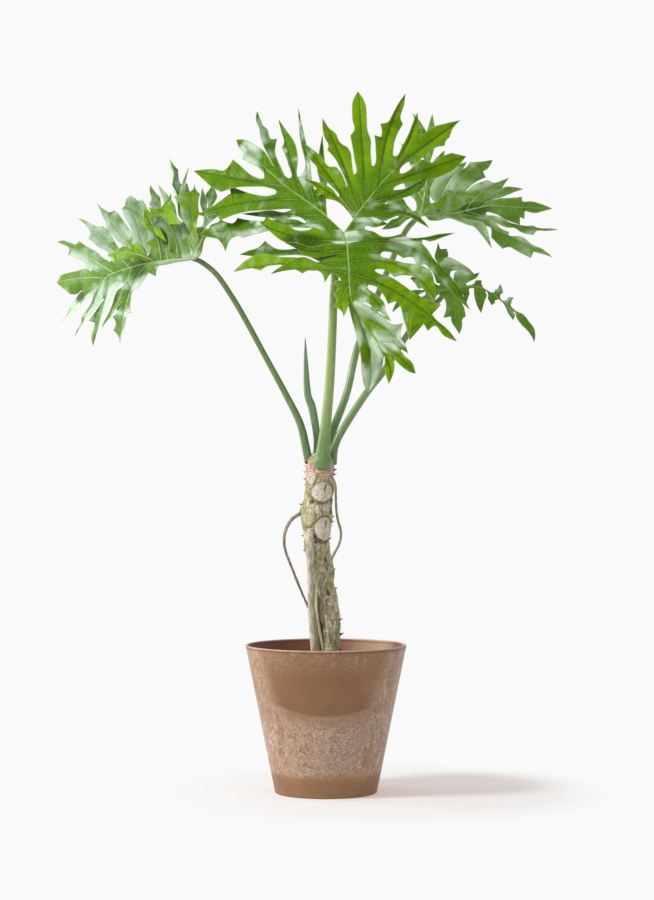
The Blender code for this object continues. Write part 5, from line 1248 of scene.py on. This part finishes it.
def draw_plan(leaf):
    """Every lobe as two strips between its vein and its edge, all sharing their seams."""
    plan = Plan(leaf)
    parts = [dict(part) for part in leaf["lobes"]]
    for number, part in enumerate(parts):
        part["step"] = round(part["root"] * LATTICE_STEPS)
        part["spine"] = spine_of(plan, part)
        part["roll"] = leaf["roll"] + ROLL_SPREAD * math.sin(2.4 * number)
    neighbours = list(zip(parts, parts[1:] + parts[:1]))
    bare = [round(share * LATTICE_STEPS) for share in leaf.get("bare", ())]
    for part, other in neighbours:
        part["following_seam"] = 0
        if bare and part is parts[-1]:
            part["seam"], part["following_seam"] = bare[1], bare[0]
        elif part["axis"] != other["axis"] or part is parts[-1]:
            part["seam"] = 0
        elif LATTICE_STEPS in (part["step"], other["step"]):
            part["seam"] = part["following_seam"] = LATTICE_STEPS
        else:
            part["seam"] = part["following_seam"] = (part["step"] + other["step"]) // 2
    for part, other in neighbours:
        plan.station(part["axis"], part["seam"])
        plan.station(part["axis"], part["step"])
        plan.station(other["axis"], part["following_seam"])
    for part, other in neighbours:
        seam = plan.station(part["axis"], part["seam"])
        following = plan.station(other["axis"], part["following_seam"])
        cut = []
        if not bare or part is not parts[-1]:
            sinus = (*leaf["cleft"], 0) if part is parts[-1] else sinus_between(part, other)
            web = (np.array(plan.flat[seam]) + np.array(sinus)) / 2
            cut = [plan.add(web[:2], web[2]), plan.add(sinus[:2], sinus[2])]
        part["after_web"], other["before_web"] = [seam, *cut], [following, *cut]
    for number, part in enumerate(parts):
        lay_out(plan, part, parts[number - 1]["following_seam"])
    return plan, parts


def lay_out(plan, part, before_seam):
    """Sets down one lobe's vein and its two edges."""
    spine = part["spine"]
    ends = [np.array(plan.flat[part[web][-1]][:2]) for web in ("before_web", "after_web")]
    spots = [nearest(spine, end) for end in ends]
    gaps = [max(apart(spine(spot), end), part["half"] / 2) for spot, end in zip(spots, ends)]
    spots = [min(max(spot, NECK_LIMIT), 0.6) for spot in spots]
    root = plan.station(part["axis"], part["step"])
    tip = plan.add(part["tip"], part["lift"])
    start = sum(spots) / 2
    shares = [start / 2] + [start + (1 - start) * k / VEIN_STEPS for k in range(VEIN_STEPS)]
    inner = [(share, plan.add(spine(share)[:2], spine(share)[2])) for share in shares]
    part.update(middle=[(0.0, root), *inner, (1.0, tip)], halves={}, free=max(spots))
    for side, web, teeth, seam, spot, gap in (
            (1, part["after_web"], part["after"], part["seam"], spots[1], gaps[1]),
            (-1, part["before_web"], part["before"], before_seam, spots[0], gaps[0])):
        edge = [(spot, web[-1], False)]
        edge += [(t, plan.add(point[:2], point[2]), sharp)
                 for t, point, sharp in edge_points(part, teeth, spot, side, gap)]
        edge.append((1.0, tip, True))
        seam = [*plan.fan(part["axis"], part["step"], seam), *web[1:]]
        part["halves"][side] = dict(seam=seam, edge=edge, spot=spot)


def smooth_run(rows, step, lead=None):
    """Rows (right, up, lift, fraction) of a smooth curve through a few such rows, about step mm
    apart. It sets out along lead, a way in the leaf's plane, if there is one."""
    rows = np.array(rows, float)
    gaps = np.maximum(np.hypot(*np.diff(rows[:, :2], axis=0).T), 1e-6)
    rates = np.diff(rows, axis=0) / gaps[:, None]
    slopes = np.empty_like(rows)
    slopes[1:-1] = ((rates[1:] * gaps[:-1, None] + rates[:-1] * gaps[1:, None])
                    / (gaps[1:] + gaps[:-1])[:, None])
    slopes[0], slopes[-1] = rates[0], rates[-1]
    if len(rows) > 2:
        slopes[0] = 1.5 * rates[0] - 0.5 * slopes[1]
        slopes[-1] = 1.5 * rates[-1] - 0.5 * slopes[-2]
    if lead is not None:
        slopes[0, :2] = lead / max(np.hypot(*lead), 1e-6)
    fine = []
    for k, gap in enumerate(gaps):
        count = max(1, round(gap / step))
        fine += [hermite(t, gap, rows[k], rows[k + 1], slopes[k], slopes[k + 1])
                 for t in np.arange(count) / count]
    fine = np.array([*fine, rows[-1]])
    fine[:, 3] = np.minimum(np.maximum.accumulate(fine[:, 3]), rows[-1, 3])
    return fine


class Skin:
    """The fine sheet of one leaf: rows of small faces between each vein and its edge."""

    def __init__(self, plan, parts):
        self.plan = plan
        self.places, self.marks = [], []
        self.faces, self.spread = [], []
        self.known, self.chains = {}, {}
        for number, part in enumerate(parts):
            part["wobble"] = 2.4 * number
            self.cover(part, parts[number - 1], parts[(number + 1) % len(parts)])

    def add(self, place, **marks):
        self.places.append(tuple(place[:3]))
        self.marks.append(dict(vein=9.0, rim=20.0, tone_and_shade=0.5, sheen_share=0.2) | marks)
        return len(self.places) - 1

    def corner(self, number):
        """The fine vertex at a numbered place of the plan."""
        if number not in self.known:
            self.known[number] = self.add(self.plan.flat[number])
        return self.known[number]

    def chain(self, a, b):
        """Fine vertices on the straight line between two places, shared by both sides of it."""
        key = (min(a, b), max(a, b))
        if key not in self.chains:
            start, end = (np.array(self.plan.flat[number]) for number in key)
            count = max(1, round(apart(end, start) / EDGE_STEP))
            inner = [self.add(start + (end - start) * k / count) for k in range(1, count)]
            self.chains[key] = [self.corner(key[0]), *inner, self.corner(key[1])]
        return self.chains[key] if a < b else self.chains[key][::-1]

    def flex(self, part, t):
        """How far the lobe is bent up at a fraction of its length, and its share of freedom."""
        free = ease(t, part["free"], part["free"] + 0.3)
        wave = math.sin(math.tau * (0.9 * t + 0.17 * part["wobble"]))
        return LOBE_WAVE * free * wave * (1 - 0.4 * t), free

    def look(self, part, t):
        """Tone, low in places as painted shade, and painted sheen: the whole leaf's beside the axis,
        then the lobe's own, and less sheen towards its tip."""
        tone_and_shade, sheen_share = self.plan.leaf["base_look"]
        own = ease(t, 0.04, 0.4)
        sheen_share += (part["sheen_share"] - sheen_share) * own
        return dict(tone_and_shade=tone_and_shade + (part["tone_and_shade"] - tone_and_shade) * own,
                    sheen_share=sheen_share * (1 - 0.6 * ease(t, 0.72, 0.95)))

    def cover(self, part, previous, following):
        """The two halves of one lobe."""
        flat = self.plan.flat
        rows = smooth_run([(*flat[number], t) for t, number in part["middle"]], SPINE_STEP)
        lengths = np.cumsum([0, *np.hypot(*np.diff(rows[:, :2], axis=0).T)])
        spine = [(0.0, self.corner(part["middle"][0][1]))]
        for row in rows[1:-1]:
            t = row[3]
            row[2] += (self.flex(part, t)[0]
                       - FOLD * part["half"] * ease(t, 0.05, 0.4) * (1 - t) ** 0.5)
            sunk = (row[0], row[1], row[2] - VEIN_SINK)
            spine.append((t, self.add(sunk, vein=0.0, **self.look(part, t))))
        rows[-1, 2] += self.flex(part, 1.0)[0]
        tip = self.add(rows[-1], vein=1.0, rim=0.0, **self.look(part, 1.0))
        spine.append((1.0, tip))
        for side, neighbour in ((1, following), (-1, previous)):
            border = self.border(part, side, neighbour["halves"][-side]["edge"][1][1], tip)
            self.strip(part, side, spine, rows, lengths, border)

    def border(self, part, side, other_neck, tip):
        """Fine vertices of an edge with fractions: along the axis, up the seam, then free."""
        flat, half = self.plan.flat, part["halves"][side]
        seam = [self.corner(half["seam"][0])]
        for a, b in zip(half["seam"], half["seam"][1:]):
            seam += self.chain(a, b)[1:]
        steps = [apart(self.places[b], self.places[a]) for a, b in zip(seam, seam[1:])]
        shares = np.cumsum([0.0, *steps])
        border = [(half["spot"] * share / shares[-1], number) for share, number in zip(shares, seam)]
        edge = half["edge"]
        lead = np.array(flat[edge[1][1]][:2]) - np.array(flat[other_neck][:2])
        if edge[0][1] in self.plan.stations.values():
            lead = None
        loose, travelled, start = [], 0.0, 0
        for end in range(1, len(edge)):
            if not edge[end][2]:
                continue
            run = [(*flat[number], t) for t, number, _ in edge[start:end + 1]]
            rows = smooth_run(run, EDGE_STEP, None if start else lead)
            for before, row in zip(rows, rows[1:]):
                travelled += apart(row, before)
                loose.append((row, travelled, *self.flex(part, row[3])))
            start = end
        for row, travelled, bend, free in loose[:-1]:
            ripple = EDGE_WAVE * free * math.sin(math.tau * travelled / EDGE_WAVE_LENGTH
                                                 + part["wobble"] + side)
            place = (row[0], row[1], row[2] + bend + ripple)
            border.append((row[3], self.add(place, rim=0.0, **self.look(part, row[3]))))
        return border + [(1.0, tip)]

    def strip(self, part, side, spine, rows, lengths, border):
        """Lanes of faces from a vein to an edge, with the cuts across them at the edge's steps."""
        fractions = np.array([t for t, _ in border])
        bases = np.array([np.interp(fractions, rows[:, 3], rows[:, k]) for k in range(3)]).T
        along = np.interp(fractions, rows[:, 3], lengths)
        local = {number: (0.0, np.interp(t, rows[:, 3], lengths)) for t, number in spine}
        lanes = []
        for k, (t, edge) in enumerate(border):
            if k in (0, len(border) - 1):
                lanes.append([edge] * len(LANES))
                continue
            target = np.array(self.places[edge])
            width = apart(target, bases[k])
            row = []
            for f in LANES[:-1]:
                place = bases[k] + (target - bases[k]) * f
                place[2] += QUILT * width * 4 * f * (1 - f) * (1 - 0.5 * t)
                vein_width = VEIN_WIDTH * (1 - 0.7 * t)
                row.append(self.add(place, vein=f * width / vein_width, rim=(1 - f) * width,
                                    **self.look(part, t)))
                local[row[-1]] = (side * f * width, along[k])
            row.append(edge)
            local[edge] = (side * width, along[k])
            lanes.append(row)
        self.zip_lane(spine, [(t, row[0]) for t, row in zip(fractions, lanes)], side, local)
        for one, other in zip(lanes, lanes[1:]):
            for k in range(len(LANES) - 1):
                self.face((one[k], other[k], other[k + 1], one[k + 1]), side, local)

    def zip_lane(self, middle, border, side, local):
        """Triangles between the vein and the lane beside it."""
        i = j = 0
        inner, outer = len(middle) - 1, len(border) - 1
        while i < inner or j < outer:
            if j == outer or (i < inner and middle[i + 1][0] <= border[j + 1][0]):
                self.face((middle[i][1], middle[i + 1][1], border[j][1]), side, local)
                i += 1
            else:
                self.face((middle[i][1], border[j + 1][1], border[j][1]), side, local)
                j += 1

    def face(self, corners, side, local):
        distinct = [number for k, number in enumerate(corners) if number != corners[k - 1]]
        if len(set(distinct)) < 3:
            return
        if side < 0:
            distinct.reverse()
        self.faces.append(tuple(distinct))
        self.spread.append([local.get(number, (0.0, 0.0)) for number in distinct])

    def settle(self):
        """Arrays of places and marks, with the main veins sunk and the leaf's patches of painted shade
        and painted sheen laid on.
        """
        places = np.array(self.places)
        right, up = places[:, 0], places[:, 1]
        marks = {name: np.array([mark[name] for mark in self.marks])
                 for name in ("vein", "rim", "tone_and_shade", "sheen_share")}
        nearest_axis = np.full(len(places), FAR)
        for shares, curve in self.plan.veins.values():
            for a, b, share in zip(curve, curve[1:], shares):
                run = b - a
                t = np.clip((places[:, :2] - a) @ run / max(run @ run, 1e-9), 0, 1)
                gap = np.hypot(*(places[:, :2] - a - t[:, None] * run).T)
                nearest_axis = np.minimum(nearest_axis, gap / (AXIS_WIDTH * (1 - 0.45 * share)))
        marks["axis"] = nearest_axis = np.where(np.abs(places[:, 2]) < FLAT_BAND, nearest_axis, FAR)
        leaf = self.plan.leaf
        # the pale strip is painted light: light coming through the fold, laid on with the sheen colour
        start, end = leaf.get("pale_strip", (0, 0))
        strip = (right > start) & (right < end) & (up < 0.09 * right - 1)
        marks["sheen_share"] = np.where(strip, STRIP_PAINTED_LIGHT, marks["sheen_share"])
        # each patch lays on its own tone, the low ones as painted shade, and its painted sheen
        for x, y, wide, high, tone_and_shade, sheen_share in leaf.get("patches", ()):
            share = np.clip(2.4 - 2 * np.hypot((right - x) / wide, (up - y) / high), 0, 1)
            marks["tone_and_shade"] += (tone_and_shade - marks["tone_and_shade"]) * share
            marks["sheen_share"] += (sheen_share - marks["sheen_share"]) * share
        places[:, 2] -= AXIS_SINK * np.exp(-nearest_axis**2)
        return places, marks


def leaf_places(leaf, flat):
    """Places in mm of rows of right, up and lift."""
    right, up, lift = flat.T
    depth = (leaf["joint"][2] + leaf["swing"] * right + leaf["arch"] * right**2
             + leaf["lean"] * up + leaf["sag"] * up**2 + leaf["curl"] * up**3 - lift)
    spread = 1 + depth / EYE_DISTANCE
    return np.stack([(leaf["joint"][0] + right) * spread, depth,
                     EYE_HEIGHT + (leaf["joint"][1] + up - EYE_HEIGHT) * spread], axis=1)


def leaf_piece(name, leaf, finish):
    """The closed blade: upper and under side a leaf's thickness apart, ribs standing beneath."""
    skin = Skin(*draw_plan(leaf))
    flat, marks = skin.settle()
    places = leaf_places(leaf, flat)
    normals = np.zeros_like(places)
    for face in skin.faces:
        a, b, c = places[list(face[:3])]
        facing = np.cross(b - a, c - a)
        for number in face:
            normals[number] += facing
    normals /= np.maximum(np.linalg.norm(normals, axis=1, keepdims=True), 1e-9)
    sight = np.array([0, -EYE_DISTANCE, EYE_HEIGHT]) - places
    sight /= np.linalg.norm(sight, axis=1, keepdims=True)
    slope = np.maximum((normals * sight).sum(axis=1), 0.35)
    half = (BLADE_THICKNESS / 2 / slope)[:, None] * sight
    rib = RIB_STAND * (np.exp(-marks["axis"] ** 2) + 0.45 * np.exp(-marks["vein"] ** 2))
    count = len(places)
    solid = np.concatenate([places + half, places - half * (1 + rib[:, None])]) * MM
    faces, spread = list(skin.faces), list(skin.spread)
    edges = {}
    for face, corners in zip(skin.faces, skin.spread):
        faces.append(tuple(number + count for number in reversed(face)))
        spread.append(corners[::-1])
        for k, number in enumerate(face):
            following = (k + 1) % len(face)
            edges[number, face[following]] = (corners[k], corners[following])
    for (a, b), (at_a, at_b) in sorted(edges.items()):
        if (b, a) not in edges:
            faces.append((b, a, a + count, b + count))
            spread.append([at_b, at_a, at_a, at_b])
    piece = mesh_piece(name, solid, faces, finish)
    for label, values in marks.items():
        set_numbers(piece.data, label, np.concatenate([values, values]))
    set_numbers(piece.data, "under", np.repeat([0.0, 1.0], count))
    weave = piece.data.uv_layers.new(name="lobe")
    weave.data.foreach_set("uv", np.array([value for corners in spread for corner in corners
                                           for value in corner], np.float32))
    return piece


def leaf_skin(name, dark, mid, vivid, sheen_colour, beneath, vein, outer_vein, rib=0.7, vein_shade=0.42):
    """Green leather: veins from the leaf's marks, a painted sheen standing for reflections on its
    glossy lobes, pale below. rib is the width of a lobe's pale vein, vein_shade how much painted
    shade darkens the blade beside it, and outer_vein the vein's colour towards the tip of a lobe
    without painted sheen."""
    made, shader, where = new_finish(name, 0.4, 0.09)
    near_vein, axis, rim, tone_and_shade, sheen_share, under = read_marks(
        where, ("vein", "axis", "rim", "tone_and_shade", "sheen_share", "under"))
    lobe_map = where.made("ShaderNodeUVMap", {}, uv_map="lobe")
    across, along, _ = lobe_map.axes()
    # side veins run out from the lobe's vein at a slant, and the blade is quilted between them
    wander = (where.grain(60.0) - 0.5) * 5.0
    phase = (along - abs(across) * SIDE_VEIN_SLANT + wander) * (1 / SIDE_VEIN_GAP)
    saw = abs(phase.maths("FRACT", phase) - 0.5)
    side_vein = saw.step(0.06, 0.015)
    colour = tone_and_shade.step(0.0, 0.55).blend(dark, mid).toward(vivid, tone_and_shade.step(0.45, 1.0))
    shade = where.grain(26.0, 4.0, 0.6).step(0.38, 0.66) * 0.35
    # random darker clouds, then painted shade beside each lobe's sunk vein
    colour = colour.toward(dark, shade).toward(dark, near_vein.step(6.0, 1.0) * vein_shade)
    # a painted sheen in clouds standing for reflections, more of it on one side of each lobe and towards
    # its margin
    sheen = where.moved((7.3, 2.1, 4.4)).grain(24.0, 2.5, 0.5, 0.6)
    turned_side = across.step(-2.5, 2.5) - 0.5
    painted_sheen = (sheen + sheen_share * (turned_side * 0.22 + 0.42)).step(0.60, 0.92)
    colour = colour.toward(sheen_colour, painted_sheen * (1.0 - rim.step(5.0, 15.0) * 0.55))
    colour = colour.toward(vein, side_vein * 0.25).toward(vein, rim.step(1.6, 0.4) * 0.7)
    outer = along.step(22.0, 60.0) * sheen_share.step(0.6, 0.2)
    midrib = near_vein.step(rib, 0.4 * rib) * 0.8
    colour = colour.toward(outer.blend(vein, outer_vein), midrib)
    main = axis.step(1.1, 0.6)
    colour = colour.toward(vein, main * 0.85)
    ribs = near_vein.step(1.0, 0.5).or_more(main) * 0.6
    below = ribs.blend(beneath, vein).toward(vein, side_vein * 0.3)
    colour = colour.toward(below, under)
    relief = saw.step(0.0, 0.5) * 0.6 + where.grain(140.0, 4.0, 0.6) * 0.35
    paint(shader, colour, relief, 0.0007, 0.35)
    links = made.node_tree.links
    rough = under.made("ShaderNodeMapRange", {0: under, 3: 0.36, 4: 0.62})
    links.new(rough.output, shader.inputs["Roughness"])
    glow = colour.made("ShaderNodeBsdfTranslucent", {"Color": colour.toward(vivid, under)})
    mixed = glow.made("ShaderNodeMixShader", {0: GLOW, 1: shader.outputs[0], 2: glow})
    links.new(mixed.output, made.node_tree.nodes["Material Output"].inputs["Surface"])
    return made


PALE_VEIN = (0.36, 0.50, 0.12)
WHITE_VEIN = (0.62, 0.72, 0.38)
DARK_VEIN = (0.022, 0.066, 0.004)
# dark, middle and vivid green, painted sheen, under side, vein, outer vein, rib and painted shade beside
# the vein
LEAF_SKINS = {
    "front": ((0.041, 0.112, 0.001), (0.106, 0.245, 0.007), (0.215, 0.412, 0.001),
              (0.66, 0.80, 0.62), (0.22, 0.34, 0.12), PALE_VEIN, DARK_VEIN),
    "left": ((0.070, 0.170, 0.022), (0.200, 0.385, 0.065), (0.330, 0.620, 0.020),
             (0.62, 0.80, 0.64), (0.32, 0.46, 0.20), WHITE_VEIN, WHITE_VEIN, 1.5, 0.12),
    "right_back": ((0.060, 0.160, 0.010), (0.190, 0.380, 0.048), (0.300, 0.550, 0.022),
                   (0.64, 0.80, 0.54), (0.30, 0.44, 0.17), WHITE_VEIN, WHITE_VEIN, 1.2, 0.15),
    "right_low": ((0.065, 0.175, 0.012), (0.180, 0.370, 0.040), (0.270, 0.530, 0.022),
                  (0.62, 0.78, 0.52), (0.26, 0.38, 0.16), PALE_VEIN, PALE_VEIN, 1.0, 0.2),
}
for name, leaf in LEAVES.items():
    finish = leaf_skin(name + "_leaf_skin", *LEAF_SKINS[name])
    stand_for(leaf_piece("leaf_" + name, leaf, finish), "leaf", "blade_" + name)


# Floor and light. A wide sheet of white paper that runs into a white surround, a soft lamp high at
# the left front that throws the shadow to the right, and a weak one at the left rear; the lens
# looks level. The paper is bluish and glows a faint warm light of its own, painted light that
# warms its shadow.

FLOOR_REACH = 60.0
PAPER = (0.405, 0.498, 0.540)
PAPER_WARM_GLOW = (0.430, 0.310, 0.260)
SURROUND = 0.95
SURROUND_LIGHT = 0.60
SWEEP_MIDDLE = (0.08, 0.0, 0.0)
SWEEP_START, SWEEP_END = 0.26, 0.44
SENSOR = 36
LENS_PIXELS, PICTURE_HEIGHT = 2645, 900
SHIFT_PIXELS = (1, -20)

paper, shader, where = new_finish("studio_paper", 0.95, 0.1)
shader.inputs["Base Color"].default_value = (*PAPER, 1)
# the paper's warm glow is painted light, standing for warm light bounced into its shadow
lift = where.made("ShaderNodeEmission", {"Color": PAPER_WARM_GLOW})
paper_with_warm_glow = where.made("ShaderNodeAddShader", {0: shader.outputs[0], 1: lift})
far = where.made("ShaderNodeVectorMath", {0: where, 1: SWEEP_MIDDLE}, "Value", operation="DISTANCE")
haze = where.made("ShaderNodeEmission", {"Strength": SURROUND})
swept = where.made("ShaderNodeMixShader", {0: far.step(SWEEP_START, SWEEP_END), 1: paper_with_warm_glow, 2: haze})
paper.node_tree.links.new(swept.output, paper.node_tree.nodes["Material Output"].inputs["Surface"])
floor_corners = [(x * FLOOR_REACH, y * FLOOR_REACH, 0) for x, y in ((-1, -1), (1, -1), (1, 1), (-1, 1))]
floor = mesh_piece("studio_floor", floor_corners, [(0, 1, 2, 3)], paper)

world = bpy.data.worlds.new("soft_surround")
bpy.context.scene.world = world
world.use_nodes = True
tree = world.node_tree
lit = tree.nodes["Background"]
lit.inputs["Strength"].default_value = SURROUND_LIGHT
seen_white = node(tree, "ShaderNodeBackground", {"Strength": SURROUND})
for background in (lit, seen_white):
    background.inputs["Color"].default_value = (1.0, 1.0, 1.0, 1)
path = node(tree, "ShaderNodeLightPath")
either = node(tree, "ShaderNodeMixShader", {0: path.outputs["Is Camera Ray"], 1: lit.outputs[0],
                                            2: seen_white.outputs[0]})
tree.links.new(either.outputs[0], tree.nodes["World Output"].inputs["Surface"])


def soft_lamp(name, place, aim, size, power):
    light = bpy.data.lights.new(name, "AREA")
    light.shape = "DISK"
    light.size = size
    light.energy = power
    lamp = linked(name, light)
    lamp.location = place
    lamp.rotation_euler = (Vector(aim) - Vector(place)).to_track_quat("-Z", "Y").to_euler()


soft_lamp("key_lamp", (-4.9, -2.15, 4.8), aim=(0, 0, 0.5), size=1.8, power=405)
soft_lamp("side_lamp", (-3.2, 1.0, 1.3), aim=(0, 0, 0.4), size=1.6, power=40)

lens = bpy.data.cameras.new("lens")
lens.sensor_width = SENSOR
lens.lens = SENSOR * LENS_PIXELS / PICTURE_HEIGHT
lens.shift_x, lens.shift_y = (pixels / PICTURE_HEIGHT for pixels in SHIFT_PIXELS)
camera = linked("lens", lens)
camera.location = (0, -EYE_DISTANCE * MM, EYE_HEIGHT * MM)
camera.rotation_euler = (math.pi / 2, 0, 0)
bpy.context.scene.camera = camera
bpy.context.scene.view_settings.view_transform = "Standard"
